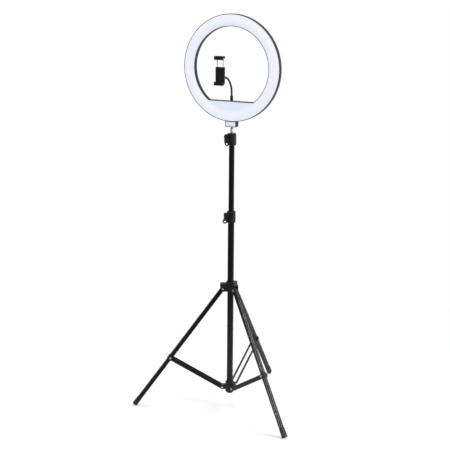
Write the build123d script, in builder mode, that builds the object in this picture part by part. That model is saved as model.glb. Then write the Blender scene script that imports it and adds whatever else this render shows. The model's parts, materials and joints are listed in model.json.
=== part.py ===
from build123d import *
import math
import os

os.makedirs("parts", exist_ok=True)

# A ring light on a folding three-legged stand. The origin is on the floor, on the axis of the column.
# +Z is up and the lamp faces -Y. All sizes are in millimetres.

# ---------------------------------------------------------------- driving dimensions

RUNNING_FIT = 0.08      # radial clearance of a part that slides or turns on another
FIXED_FIT = 0.02        # radial clearance of a part that is fixed in another
SOFT_GAP = 0.3          # side gap between bodies that only pass each other
OVERCUT = 1.0           # how far a cut runs past what it opens

# lamp head
RING_R = 177.5          # outer radius of the casing
HOLE_R = 137.0          # radius of the hole
RING_Z = 1196.0         # height of the ring's centre
RIM_H = 11.0            # front rim, ahead of the column axis
BACK_H = 9.0            # casing back, behind the column axis
CASING_WALL = 2.0
DOME_H = 5.5            # height of the diffuser's crown above the rim
DIFFUSER_T = 1.8
CHORD_DROP = 109.0      # top edge of the segment, below the ring's centre
PANEL_T = 2.0
BOARD_T = 1.6
CHIPS_PER_ROW = 60
CHIP_ROWS_R = (149.0, 165.5)

# base block and ball joint
BLOCK_W = 40.8
BLOCK_BOTTOM_Z = 1000.5
BLOCK_BACK_H = 7.6
BLOCK_CORNER_R = 2.0
FRONT_PLATE_T = 1.5
BLOCK_EDGE = 2.2        # black edge left around the white front plate
BALL_R = 5.0
BALL_Z = 1004.5
SEAT_R = 6.2
SEAT_TOP_Z = 1011.5
STUD_NECK_R = 2.7
STUD_R = 5.2
STUD_BOTTOM_Z = 979.5

# telescopic column
OUTER_R = 11.0
MIDDLE_R = 9.5
TOP_R = 8.0
OUTER_WALL = 1.2
INNER_WALL = 1.1
OUTER_BOTTOM_Z = 52.0
OUTER_TOP_Z = 690.0
MIDDLE_BOTTOM_Z = 362.0
MIDDLE_TOP_Z = 958.0
TOP_BOTTOM_Z = 416.0
TOP_TOP_Z = 974.0
BUSH_H = 12.0
BUSH_STUB = 16.0
BUSH_BORE_R = 5.0
BUSH_CHAMFER = 0.8

# clamp collars and wing knobs
COLLAR_R = 15.3
COLLAR_H = 40.6
MIDDLE_COLLAR_TOP_Z = 709.5
TOP_COLLAR_TOP_Z = 978.2
COLLAR_AZIMUTH = 212.0  # degrees, where the ears point
EAR_REACH = 25.5
EAR_T = 18.0
EAR_H = 25.0
SLIT_W = 2.0
COLLAR_FOOT_CHAMFER = 1.6
COLLAR_TOP_CHAMFER = 2.4
EAR_CORNER_R = 2.5
BOLT_OFFSET = 19.0      # clamp bolt from the column axis
BOLT_R = 2.5
KNOB_HUB_R = 6.0
KNOB_HUB_H = 14.5
KNOB_TOP_R = 1.5
WING_ROOT_W = 10.0
WING_H = 10.3           # wings' mid-plane above the knob's foot
WING_T = 4.0
WING_REACH = 12.2
WING_LOBE_R = 8.0
WING_TWIST = 12.0
EYELET_R = 4.2

# legs, struts and hubs
LEG_NAMES = {"left": 210.0, "right": 330.0, "rear": 90.0}
PIVOT_R = 27.5          # hub pivots from the column axis
UPPER_PIVOT_Z = 432.4
LOWER_PIVOT_Z = 68.0
FOOT_R = 335.6          # end of a leg's centre line
FOOT_Z = 8.6
MID_SHARE = 0.597       # place of the strut joint along the leg
LEG_W = 12.6
LEG_DEPTH = 14.4
LEG_WALL = 1.5
LEG_EDGE_R = 2.2        # outer edges of the leg's tube
LEG_MOUTH = 26.0        # the tube is open towards the column down to here, to clear the hub
LEG_OVER = 7.0          # leg beyond its pivot
BRACKET_L = 16.0        # bracket that carries the strut, along the leg
BRACKET_DEPTH = 16.8
BRACKET_CORNER_R = 2.5
FOOT_COVER = 26.0
FOOT_W = 14.2
FOOT_DEPTH = 16.0
FOOT_CORNER_R = 1.5
FOOT_END_R = 1.4
FLAT_DEPTH = 0.8        # how far the foot's corner is cut back to the floor
STRUT_GAP = 19.0        # between the two strips of a strut
STRIP_W = 12.6
STRIP_T = 1.6
RIVET_R = 2.5
RIVET_HEAD_R = 4.2
RIVET_HEAD_H = 1.9
RIVET_TAPER = 25.0
HUB_R = 15.5
UPPER_HUB_BOTTOM_Z = 423.0
UPPER_HUB_TOP_Z = 459.0
CLEVIS_TOP_Z = 452.5
CLEVIS_REACH = 36.0
CLEVIS_FOOT_R = 8.0
CLEVIS_TOP_R = 3.0
CHEEK_T = 2.1
CLEVIS_ROOF = 3.0       # solid roof over a leg's end
HUB_CHAMFER = 1.2
LOWER_HUB_BOTTOM_Z = 49.4
LOWER_HUB_TOP_Z = 87.6
LUG_R = 7.5
SPIDER_KNOB_AZIMUTH = 150.0
SPIDER_KNOB_Z = 438.0
SPIDER_KNOB_SPIN = 90.0     # its wings stand level
BOSS_R = 7.0
BOSS_REACH = 24.5
LOCK_SCREW_R = 3.0

# gooseneck
SOCKET_X = 41.5         # spare sockets, each side of the gooseneck's
SOCKET_H = 4.0          # sockets ahead of the column axis
SOCKET_R = 4.75
SOCKET_FLANGE_R = 6.0
SOCKET_BORE_R = 2.58
SOCKET_DEPTH = 11.0
FERRULE_R = 5.0
FERRULE_TOP_Z = 1105.0
NECK_R = 3.3
NECK_BEND_Z = 1113.0
NECK_BEND_R = 57.0
KNUCKLE_GAP = 0.3
NECK_BALL_R = 5.0
NECK_STEM_R = 2.0
NECK_RUN = 8.0          # straight end, beyond the bend
NECK_BALL_DROP = 6.0    # ball centre beyond the end of the neck

# phone clamp
CLAMP_W = 32.0
CLAMP_FACE_Y = -90.0
CLAMP_BODY_T = 6.0
JAW_REACH = 11.5        # jaws ahead of the clamp's face
JAW_LIP_T = 2.5
LOWER_JAW_Z = 1147.0
CLAMP_BODY_TOP_Z = 1206.0
JAW_GAP = 76.5          # between the pads
JAW_T = 7.5
PAD_T = 1.5
LIP_RISE = 3.0
ROD_R = 1.6
ROD_X = 11.0
ROD_BOTTOM_Z = 1174.0
JAW_DOWN = 17.0         # the upper jaw's travel below where it stands
CUP_R = 8.0
CUP_BACK = 2.5          # cup's rim behind the ball's centre
NUT_R = 10.5
SPINDLE_R = 2.5

# buttons and inlet on the back of the segment
BUTTON_XS = (-24.0, 0.0, 24.0)
BUTTON_DROP = 121.0     # below the ring's centre
BUTTON_R = 3.6
BUTTON_PROUD = 1.8
INLET_X = 45.0
INLET_SIZE = 9.0
INLET_BORE_R = 3.0

# ---------------------------------------------------------------- worked-out places

LEG_ANGLE = math.degrees(math.atan2(FOOT_R - PIVOT_R, UPPER_PIVOT_Z - FOOT_Z))
LEG_LENGTH = math.hypot(FOOT_R - PIVOT_R, UPPER_PIVOT_Z - FOOT_Z)
MID_R = PIVOT_R + MID_SHARE * (FOOT_R - PIVOT_R)
MID_Z = UPPER_PIVOT_Z - MID_SHARE * (UPPER_PIVOT_Z - FOOT_Z)
STRUT_ANGLE = math.degrees(math.atan2(MID_R - PIVOT_R, MID_Z - LOWER_PIVOT_Z))
STRUT_LENGTH = math.hypot(MID_R - PIVOT_R, MID_Z - LOWER_PIVOT_Z)
STRIP_INNER = STRUT_GAP / 2
LUG_W = STRUT_GAP - 2 * SOFT_GAP
STRIP_OUTER = STRIP_INNER + STRIP_T
CHEEK_INNER = LEG_W / 2 + SOFT_GAP
CHEEK_OUTER = CHEEK_INNER + CHEEK_T
CHORD_Z = RING_Z - CHORD_DROP
NECK_Y = -SOCKET_H
NECK_END_Y = NECK_Y - NECK_BEND_R
NECK_END_Z = NECK_BEND_Z + NECK_BEND_R
KNUCKLE = Vector(
    0,
    NECK_END_Y + NECK_BEND_R * math.cos(math.radians(45)),
    NECK_BEND_Z + NECK_BEND_R * math.sin(math.radians(45)),
)
NECK_TIP_Y = NECK_END_Y - NECK_RUN
NECK_BALL = Vector(0, NECK_TIP_Y - NECK_BALL_DROP, NECK_END_Z)
CLAMP_BACK_Y = CLAMP_FACE_Y + CLAMP_BODY_T
ROD_Y = CLAMP_FACE_Y + CLAMP_BODY_T / 2
LOWER_PAD_TOP_Z = LOWER_JAW_Z + JAW_T + PAD_T
UPPER_PAD_BOTTOM_Z = LOWER_PAD_TOP_Z + JAW_GAP
UPPER_JAW_TOP_Z = UPPER_PAD_BOTTOM_Z + PAD_T + JAW_T

RING = Plane(origin=(0, 0, RING_Z), x_dir=(1, 0, 0), z_dir=(0, -1, 0))
RING_SECTION = Plane(origin=(0, 0, RING_Z), x_dir=(1, 0, 0), z_dir=(0, 0, -1))
RING_AXIS = Axis((0, 0, RING_Z), (0, -1, 0))
UP = Vector(0, 0, 1)


def direction(azimuth):
    """A level unit vector at this azimuth, in degrees."""
    return Vector(math.cos(math.radians(azimuth)), math.sin(math.radians(azimuth)), 0)


def side_plane(azimuth):
    """The upright plane through the column: its x is the radius, its y is the height."""
    return Plane(origin=(0, 0, 0), x_dir=direction(azimuth), z_dir=direction(azimuth - 90))


def plan_plane(azimuth, z):
    """The level plane at this height, with its x along the azimuth."""
    return Plane(origin=(0, 0, z), x_dir=direction(azimuth), z_dir=(0, 0, 1))


def leg_plane(azimuth, distance):
    """The section plane of a leg, this far below its pivot: its x is across, its y outward."""
    outward = direction(azimuth)
    along = outward * math.sin(math.radians(LEG_ANGLE)) - UP * math.cos(math.radians(LEG_ANGLE))
    start = outward * PIVOT_R + UP * UPPER_PIVOT_Z + along * distance
    return Plane(origin=start, x_dir=direction(azimuth + 90), z_dir=along)


def strut_plane(azimuth, across):
    """The plane of one strut strip: its x runs up the strut from the lower pivot."""
    outward = direction(azimuth)
    sideways = direction(azimuth + 90)
    along = outward * math.sin(math.radians(STRUT_ANGLE)) + UP * math.cos(math.radians(STRUT_ANGLE))
    start = outward * PIVOT_R + UP * LOWER_PIVOT_Z + sideways * across
    return Plane(origin=start, x_dir=along, z_dir=sideways)


def spun(plane, angle):
    """The same plane, turned about its own z by this many degrees."""
    turn = math.radians(angle)
    return Plane(
        origin=plane.origin,
        x_dir=plane.x_dir * math.cos(turn) + plane.y_dir * math.sin(turn),
        z_dir=plane.z_dir,
    )


def disc_segment(radius, top):
    """The part of a disc that lies below this height."""
    with BuildSketch() as segment:
        Circle(radius)
        with Locations((0, top + radius)):
            Rectangle(2 * radius, 2 * radius, mode=Mode.SUBTRACT)
    return segment.sketch


# ---------------------------------------------------------------- column tubes

with BuildPart() as outer_tube:
    with BuildSketch(Plane.XY.offset(OUTER_BOTTOM_Z)):
        Circle(OUTER_R)
        Circle(OUTER_R - OUTER_WALL, mode=Mode.SUBTRACT)
    extrude(amount=OUTER_TOP_Z - OUTER_BOTTOM_Z)
outer_tube.part.label = "outer_tube"
export_step(outer_tube.part, "parts/outer_tube.step")

with BuildPart() as middle_tube:
    with BuildSketch(Plane.XY.offset(MIDDLE_BOTTOM_Z)):
        Circle(MIDDLE_R)
        Circle(MIDDLE_R - INNER_WALL, mode=Mode.SUBTRACT)
    extrude(amount=MIDDLE_TOP_Z - MIDDLE_BOTTOM_Z)
middle_tube.part.label = "middle_tube"
export_step(middle_tube.part, "parts/middle_tube.step")

with BuildPart() as top_tube:
    with BuildSketch(Plane.XY.offset(TOP_BOTTOM_Z)):
        Circle(TOP_R)
        Circle(TOP_R - INNER_WALL, mode=Mode.SUBTRACT)
    extrude(amount=TOP_TOP_Z - TOP_BOTTOM_Z)
top_tube.part.label = "top_tube"
export_step(top_tube.part, "parts/top_tube.step")


def guide_bush(tube_bottom_z, guide_r, stub_r):
    """A plastic bush that closes the foot of a sliding tube and guides it in the next one."""
    with BuildPart() as bush:
        with BuildSketch(Plane.XY.offset(tube_bottom_z - BUSH_H)):
            Circle(guide_r)
        extrude(amount=BUSH_H)
        chamfer(bush.edges().group_by(Axis.Z)[0], length=BUSH_CHAMFER)
        with BuildSketch(Plane.XY.offset(tube_bottom_z)):
            Circle(stub_r)
        extrude(amount=BUSH_STUB)
        with BuildSketch(Plane.XY.offset(tube_bottom_z - BUSH_H)):
            Circle(BUSH_BORE_R)
        extrude(amount=BUSH_H + BUSH_STUB, mode=Mode.SUBTRACT)
    return bush


middle_tube_bush = guide_bush(MIDDLE_BOTTOM_Z, OUTER_R - OUTER_WALL - RUNNING_FIT, MIDDLE_R - INNER_WALL)
middle_tube_bush.part.label = "middle_tube_bush"
export_step(middle_tube_bush.part, "parts/middle_tube_bush.step")

top_tube_bush = guide_bush(TOP_BOTTOM_Z, MIDDLE_R - INNER_WALL - RUNNING_FIT, TOP_R - INNER_WALL)
top_tube_bush.part.label = "top_tube_bush"
export_step(top_tube_bush.part, "parts/top_tube_bush.step")

PLUG_BOTTOM_Z = 45.0
PLUG_STUB = 16.0
PLUG_FOOT_R = 1.5
with BuildPart() as tube_plug:
    with BuildSketch(Plane.XY.offset(PLUG_BOTTOM_Z)):
        Circle(OUTER_R)
    extrude(amount=LOWER_HUB_BOTTOM_Z - PLUG_BOTTOM_Z)
    fillet(tube_plug.edges().group_by(Axis.Z)[0], radius=PLUG_FOOT_R)
    with BuildSketch(Plane.XY.offset(LOWER_HUB_BOTTOM_Z)):
        Circle(OUTER_R - OUTER_WALL)
    extrude(amount=PLUG_STUB)
tube_plug.part.label = "tube_plug"
export_step(tube_plug.part, "parts/tube_plug.step")

FITTING_PLUG = 24.0
FLANGE_H = 2.5
SPIGOT_R = 4.6
THREAD_R = 3.1
THREAD_H = 10.5
THREAD_CHAMFER = 0.8
FITTING_GAP = 0.2       # under the ball stud, which turns on the fitting
FITTING_TOP_Z = STUD_BOTTOM_Z - FITTING_GAP
with BuildPart() as top_fitting:
    with BuildSketch(Plane.XY.offset(TOP_TOP_Z - FITTING_PLUG)):
        Circle(TOP_R - INNER_WALL)
    extrude(amount=FITTING_PLUG)
    with BuildSketch(Plane.XY.offset(TOP_TOP_Z)):
        Circle(TOP_R)
    extrude(amount=FLANGE_H)
    with BuildSketch(Plane.XY.offset(TOP_TOP_Z + FLANGE_H)):
        Circle(SPIGOT_R)
    extrude(amount=FITTING_TOP_Z - TOP_TOP_Z - FLANGE_H)
    with BuildSketch(Plane.XY.offset(FITTING_TOP_Z)):
        Circle(THREAD_R)
    extrude(amount=THREAD_H)
    chamfer(top_fitting.edges().group_by(Axis.Z)[-1], length=THREAD_CHAMFER)
top_fitting.part.label = "top_fitting"
export_step(top_fitting.part, "parts/top_fitting.step")


# ---------------------------------------------------------------- clamp collars

def bolt_plane(bolt_z, along):
    """The plane across a collar's clamp bolt, this far along it from the middle of the ears."""
    outward = direction(COLLAR_AZIMUTH)
    sideways = direction(COLLAR_AZIMUTH + 90)
    start = outward * BOLT_OFFSET + sideways * along + UP * bolt_z
    return Plane(origin=start, x_dir=(0, 0, 1), z_dir=sideways)


def clamp_collar(top_z, fixed_r, fixed_top_z, sliding_r):
    """A split collar: its foot is fixed on one tube and its upper half grips the sliding one."""
    bottom_z = top_z - COLLAR_H
    bolt_z = top_z - COLLAR_H / 2
    with BuildPart() as collar:
        with BuildSketch(Plane.XY.offset(bottom_z)):
            Circle(COLLAR_R)
        extrude(amount=COLLAR_H)
        chamfer(collar.edges().group_by(Axis.Z)[0], length=COLLAR_FOOT_CHAMFER)
        chamfer(collar.edges().group_by(Axis.Z)[-1], length=COLLAR_TOP_CHAMFER)
        with BuildSketch(plan_plane(COLLAR_AZIMUTH, bolt_z - EAR_H / 2)):
            with Locations((EAR_REACH / 2, 0)):
                Rectangle(EAR_REACH, EAR_T)
        extrude(amount=EAR_H)
        beyond_ears = direction(COLLAR_AZIMUTH) * 2 * EAR_REACH + UP * bolt_z
        ear_edges = collar.edges().filter_by(Axis.Z).sort_by_distance(beyond_ears)
        fillet(ear_edges[0:2], radius=EAR_CORNER_R)
        with BuildSketch(Plane.XY.offset(bottom_z)):
            Circle(fixed_r + FIXED_FIT)
        extrude(amount=fixed_top_z - bottom_z, mode=Mode.SUBTRACT)
        with BuildSketch(Plane.XY.offset(fixed_top_z)):
            Circle(sliding_r + RUNNING_FIT)
        extrude(amount=top_z - fixed_top_z, mode=Mode.SUBTRACT)
        with BuildSketch(plan_plane(COLLAR_AZIMUTH, bolt_z - EAR_H / 2)):
            with Locations((EAR_REACH, 0)):
                Rectangle(2 * EAR_REACH, SLIT_W)
        extrude(amount=COLLAR_H, mode=Mode.SUBTRACT)
        with BuildSketch(bolt_plane(bolt_z, 0)):
            Circle(BOLT_R + RUNNING_FIT)
        extrude(amount=EAR_T, both=True, mode=Mode.SUBTRACT)
    return collar


def wing_knob(foot):
    """A wing knob on this plane: the plane's z is the screw's axis and its x runs along the wings."""
    with BuildPart() as knob:
        with BuildSketch(foot):
            Circle(KNOB_HUB_R)
        extrude(amount=KNOB_HUB_H)
        rims = knob.edges().filter_by(GeomType.CIRCLE)
        fillet(rims.sort_by_distance(foot.origin + foot.z_dir * 2 * KNOB_HUB_H)[0], radius=KNOB_TOP_R)
        for side in (1, -1):
            twist = math.radians(WING_TWIST) * side
            normal = foot.z_dir * math.cos(twist) + foot.y_dir * math.sin(twist)
            wing = Plane(origin=foot.origin + foot.z_dir * WING_H, x_dir=foot.x_dir * side, z_dir=normal)
            with BuildSketch(wing):
                with Locations((WING_REACH / 2, 0)):
                    Rectangle(WING_REACH, WING_ROOT_W)
                with Locations((WING_REACH, 0)):
                    Circle(WING_LOBE_R)
                    if side < 0:
                        Circle(EYELET_R, mode=Mode.SUBTRACT)
            extrude(amount=WING_T / 2, both=True)
        with BuildSketch(foot):
            Circle(BOLT_R + FIXED_FIT)
        extrude(amount=WING_H + FIXED_FIT, mode=Mode.SUBTRACT)
    return knob


def clamp_bolt(bolt_z):
    """The bolt of a collar, from the far ear into the knob."""
    with BuildPart() as bolt:
        with BuildSketch(bolt_plane(bolt_z, -EAR_T / 2)):
            Circle(BOLT_R)
        extrude(amount=EAR_T + SOFT_GAP + WING_H)
    return bolt


middle_collar = clamp_collar(MIDDLE_COLLAR_TOP_Z, OUTER_R, OUTER_TOP_Z, MIDDLE_R)
middle_collar.part.label = "middle_collar"
export_step(middle_collar.part, "parts/middle_collar.step")

top_collar = clamp_collar(TOP_COLLAR_TOP_Z, MIDDLE_R, MIDDLE_TOP_Z, TOP_R)
top_collar.part.label = "top_collar"
export_step(top_collar.part, "parts/top_collar.step")

KNOB_SPINS = {"middle": -20.0, "top": 6.0}
COLLAR_TOPS = {"middle": MIDDLE_COLLAR_TOP_Z, "top": TOP_COLLAR_TOP_Z}
for place, collar_top_z in COLLAR_TOPS.items():
    knob_z = collar_top_z - COLLAR_H / 2
    knob_foot = spun(bolt_plane(knob_z, EAR_T / 2 + SOFT_GAP), KNOB_SPINS[place])
    collar_knob = wing_knob(knob_foot)
    collar_knob.part.label = f"{place}_knob"
    export_step(collar_knob.part, f"parts/{place}_knob.step")
    collar_bolt = clamp_bolt(knob_z)
    collar_bolt.part.label = f"{place}_knob_bolt"
    export_step(collar_bolt.part, f"parts/{place}_knob_bolt.step")

# ---------------------------------------------------------------- hubs

with BuildPart() as upper_hub:
    with BuildSketch(Plane.XY.offset(UPPER_HUB_BOTTOM_Z)):
        Circle(HUB_R)
    extrude(amount=UPPER_HUB_TOP_Z - UPPER_HUB_BOTTOM_Z)
    chamfer(upper_hub.edges().group_by(Axis.Z)[-1], length=HUB_CHAMFER)
    for leg_azimuth in LEG_NAMES.values():
        with BuildSketch(side_plane(leg_azimuth)) as clevis:
            with BuildLine():
                Polyline(
                    (0, UPPER_HUB_BOTTOM_Z),
                    (CLEVIS_REACH, UPPER_HUB_BOTTOM_Z),
                    (CLEVIS_REACH, CLEVIS_TOP_Z),
                    (0, CLEVIS_TOP_Z),
                    close=True,
                )
            make_face()
            lower_corner = clevis.vertices().sort_by_distance((CLEVIS_REACH, UPPER_HUB_BOTTOM_Z))[0]
            fillet(lower_corner, radius=CLEVIS_FOOT_R)
            upper_corner = clevis.vertices().sort_by_distance((CLEVIS_REACH, CLEVIS_TOP_Z))[0]
            fillet(upper_corner, radius=CLEVIS_TOP_R)
        extrude(amount=CHEEK_OUTER, both=True)
    for leg_azimuth in LEG_NAMES.values():
        with BuildSketch(side_plane(leg_azimuth)):
            with BuildLine():
                Polyline(
                    (HUB_R + OVERCUT, UPPER_HUB_BOTTOM_Z - OVERCUT),
                    (CLEVIS_REACH + OVERCUT, UPPER_HUB_BOTTOM_Z - OVERCUT),
                    (CLEVIS_REACH + OVERCUT, CLEVIS_TOP_Z - CLEVIS_ROOF),
                    (HUB_R + OVERCUT, CLEVIS_TOP_Z - CLEVIS_ROOF),
                    close=True,
                )
            make_face()
        extrude(amount=CHEEK_INNER, both=True, mode=Mode.SUBTRACT)
        with BuildSketch(side_plane(leg_azimuth)):
            with Locations((PIVOT_R, UPPER_PIVOT_Z)):
                Circle(RIVET_R + FIXED_FIT)
        extrude(amount=CHEEK_OUTER, both=True, mode=Mode.SUBTRACT)
    boss_start = direction(SPIDER_KNOB_AZIMUTH) * OUTER_R + UP * SPIDER_KNOB_Z
    boss_plane = Plane(origin=boss_start, x_dir=(0, 0, 1), z_dir=direction(SPIDER_KNOB_AZIMUTH))
    with BuildSketch(boss_plane):
        Circle(BOSS_R)
    extrude(amount=BOSS_REACH - OUTER_R)
    with BuildSketch(Plane.XY.offset(UPPER_HUB_BOTTOM_Z)):
        Circle(OUTER_R + RUNNING_FIT)
    extrude(amount=UPPER_HUB_TOP_Z - UPPER_HUB_BOTTOM_Z, mode=Mode.SUBTRACT)
    with BuildSketch(boss_plane):
        Circle(LOCK_SCREW_R + RUNNING_FIT)
    extrude(amount=BOSS_REACH, mode=Mode.SUBTRACT)
upper_hub.part.label = "upper_hub"
export_step(upper_hub.part, "parts/upper_hub.step")

with BuildPart() as lower_hub:
    with BuildSketch(Plane.XY.offset(LOWER_HUB_BOTTOM_Z)):
        Circle(HUB_R)
    extrude(amount=LOWER_HUB_TOP_Z - LOWER_HUB_BOTTOM_Z)
    chamfer(lower_hub.edges().group_by(Axis.Z)[-1], length=HUB_CHAMFER)
    chamfer(lower_hub.edges().group_by(Axis.Z)[0], length=HUB_CHAMFER)
    for leg_azimuth in LEG_NAMES.values():
        with BuildSketch(side_plane(leg_azimuth)):
            with Locations((PIVOT_R / 2, LOWER_PIVOT_Z)):
                Rectangle(PIVOT_R, 2 * LUG_R)
            with Locations((PIVOT_R, LOWER_PIVOT_Z)):
                Circle(LUG_R)
        extrude(amount=LUG_W / 2, both=True)
        with BuildSketch(side_plane(leg_azimuth)):
            with Locations((PIVOT_R, LOWER_PIVOT_Z)):
                Circle(RIVET_R + RUNNING_FIT)
        extrude(amount=LUG_W, both=True, mode=Mode.SUBTRACT)
    with BuildSketch(Plane.XY.offset(LOWER_HUB_BOTTOM_Z)):
        Circle(OUTER_R + FIXED_FIT)
    extrude(amount=LOWER_HUB_TOP_Z - LOWER_HUB_BOTTOM_Z, mode=Mode.SUBTRACT)
lower_hub.part.label = "lower_hub"
export_step(lower_hub.part, "parts/lower_hub.step")

with BuildPart() as upper_rivets:
    for leg_azimuth in LEG_NAMES.values():
        with BuildSketch(side_plane(leg_azimuth)):
            with Locations((PIVOT_R, UPPER_PIVOT_Z)):
                Circle(RIVET_R)
        extrude(amount=CHEEK_OUTER, both=True)
        for side in (-1, 1):
            with BuildSketch(side_plane(leg_azimuth).offset(side * CHEEK_OUTER)):
                with Locations((PIVOT_R, UPPER_PIVOT_Z)):
                    Circle(RIVET_HEAD_R)
            extrude(amount=side * RIVET_HEAD_H, taper=RIVET_TAPER)
upper_rivets.part.label = "upper_rivets"
export_step(upper_rivets.part, "parts/upper_rivets.step")

spider_knob_start = direction(SPIDER_KNOB_AZIMUTH) * (BOSS_REACH + SOFT_GAP) + UP * SPIDER_KNOB_Z
spider_knob_upright = Plane(origin=spider_knob_start, x_dir=(0, 0, 1), z_dir=direction(SPIDER_KNOB_AZIMUTH))
spider_knob_foot = spun(spider_knob_upright, SPIDER_KNOB_SPIN)
spider_knob = wing_knob(spider_knob_foot)
spider_knob.part.label = "spider_knob"
export_step(spider_knob.part, "parts/spider_knob.step")

SCREW_TIP_GAP = 0.1
lock_screw_start = direction(SPIDER_KNOB_AZIMUTH) * (OUTER_R + SCREW_TIP_GAP) + UP * SPIDER_KNOB_Z
lock_screw_plane = Plane(origin=lock_screw_start, x_dir=(0, 0, 1), z_dir=direction(SPIDER_KNOB_AZIMUTH))
with BuildPart() as spider_knob_screw:
    with BuildSketch(lock_screw_plane):
        Circle(LOCK_SCREW_R)
    extrude(amount=BOSS_REACH + SOFT_GAP - OUTER_R - SCREW_TIP_GAP)
    with BuildSketch(spider_knob_foot):
        Circle(BOLT_R)
    extrude(amount=WING_H)
spider_knob_screw.part.label = "spider_knob_screw"
export_step(spider_knob_screw.part, "parts/spider_knob_screw.step")

# ---------------------------------------------------------------- legs and struts

lean = math.radians(LEG_ANGLE)
foot_over = FOOT_END_R + (
    FOOT_Z + FLAT_DEPTH - FOOT_END_R - (FOOT_DEPTH / 2 - FOOT_END_R) * math.sin(lean)
) / math.cos(lean)

for leg_name, leg_azimuth in LEG_NAMES.items():
    with BuildPart() as leg:
        with BuildSketch(leg_plane(leg_azimuth, -LEG_OVER)) as leg_section:
            Rectangle(LEG_W, LEG_DEPTH)
            fillet(leg_section.vertices().group_by(Axis.Y)[-1], radius=LEG_EDGE_R)
        extrude(amount=LEG_LENGTH + LEG_OVER)
        with BuildSketch(leg_plane(leg_azimuth, MID_SHARE * LEG_LENGTH - BRACKET_L / 2)):
            RectangleRounded(LUG_W, BRACKET_DEPTH, BRACKET_CORNER_R)
        extrude(amount=BRACKET_L)
        with BuildSketch(leg_plane(leg_azimuth, -LEG_OVER)):
            with Locations((0, -LEG_WALL)):
                Rectangle(LEG_W - 2 * LEG_WALL, LEG_DEPTH)
        extrude(amount=LEG_MOUTH + LEG_OVER, mode=Mode.SUBTRACT)
        with BuildSketch(leg_plane(leg_azimuth, LEG_MOUTH)):
            Rectangle(LEG_W - 2 * LEG_WALL, LEG_DEPTH - 2 * LEG_WALL)
        extrude(amount=LEG_LENGTH - LEG_MOUTH, mode=Mode.SUBTRACT)
        with BuildSketch(side_plane(leg_azimuth)):
            with Locations((PIVOT_R, UPPER_PIVOT_Z)):
                Circle(RIVET_R + RUNNING_FIT)
        extrude(amount=LEG_W, both=True, mode=Mode.SUBTRACT)
    leg.part.label = f"leg_{leg_name}"
    export_step(leg.part, f"parts/leg_{leg_name}.step")

    with BuildPart() as foot_cap:
        with BuildSketch(leg_plane(leg_azimuth, LEG_LENGTH - FOOT_COVER)):
            RectangleRounded(FOOT_W, FOOT_DEPTH, FOOT_CORNER_R)
        extrude(amount=FOOT_COVER + foot_over)
        beyond_foot = leg_plane(leg_azimuth, 2 * LEG_LENGTH).origin
        fillet(foot_cap.faces().sort_by_distance(beyond_foot)[0].edges(), radius=FOOT_END_R)
        with BuildSketch(leg_plane(leg_azimuth, LEG_LENGTH - FOOT_COVER)):
            Rectangle(LEG_W, LEG_DEPTH)
        extrude(amount=FOOT_COVER, mode=Mode.SUBTRACT)
        split(bisect_by=Plane.XY, keep=Keep.TOP)
    foot_cap.part.label = f"foot_{leg_name}"
    export_step(foot_cap.part, f"parts/foot_{leg_name}.step")

    with BuildPart() as strut:
        for strip_start in (STRIP_INNER, -STRIP_OUTER):
            with BuildSketch(strut_plane(leg_azimuth, strip_start)):
                with Locations((STRUT_LENGTH / 2, 0)):
                    SlotCenterToCenter(STRUT_LENGTH, STRIP_W)
                with Locations((0, 0), (STRUT_LENGTH, 0)):
                    Circle(RIVET_R + FIXED_FIT, mode=Mode.SUBTRACT)
            extrude(amount=STRIP_T)
    strut.part.label = f"strut_{leg_name}"
    export_step(strut.part, f"parts/strut_{leg_name}.step")

    with BuildPart() as strut_rivets:
        with BuildSketch(strut_plane(leg_azimuth, 0)):
            Circle(RIVET_R)
        extrude(amount=STRIP_OUTER, both=True)
        with BuildSketch(strut_plane(leg_azimuth, STRIP_INNER)):
            with Locations((STRUT_LENGTH, 0)):
                Circle(RIVET_R)
        extrude(amount=STRIP_T)
        with BuildSketch(strut_plane(leg_azimuth, -STRIP_OUTER)):
            with Locations((STRUT_LENGTH, 0)):
                Circle(RIVET_R)
        extrude(amount=STRIP_T)
        for side in (-1, 1):
            with BuildSketch(strut_plane(leg_azimuth, side * STRIP_OUTER)):
                with Locations((0, 0), (STRUT_LENGTH, 0)):
                    Circle(RIVET_HEAD_R)
            extrude(amount=side * RIVET_HEAD_H, taper=RIVET_TAPER)
    strut_rivets.part.label = f"strut_rivets_{leg_name}"
    export_step(strut_rivets.part, f"parts/strut_rivets_{leg_name}.step")

# ---------------------------------------------------------------- lamp head: casing and lights

CHIN = 4.0              # where the casing's back starts to slope, behind the rim's root
SLOPE = 8.0
SCREW_RING_R = (HOLE_R + RING_R) / 2
SCREW_COUNT = 6
SCREW_R = 1.25
SCREW_HEAD_R = 2.6
SCREW_HEAD_H = 1.4
SCREW_REACH = 6.0       # tip, ahead of the column axis
BOSS_OUTER_R = 3.6
CASING_EDGE_R = 5.0     # rounding of the casing's back edges
INSIDE_SLOPE = 6.0      # slope of the casing's inside, beside its floor
POST_R = 2.75           # diffuser's screw posts
SKIRT_STEP = 0.8        # diffuser's inside curve, below its rim
BOARD_H = 0.0           # back of the light board
SKIRT = 4.0
CHIP_SIZE = 3.4
CHIP_H = 0.8
FLOOR_H = CASING_WALL - BACK_H
INNER_WALL_R = HOLE_R + CASING_WALL
OUTER_WALL_R = RING_R - CASING_WALL
SOCKET_XS = (-SOCKET_X, 0.0, SOCKET_X)

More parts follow.
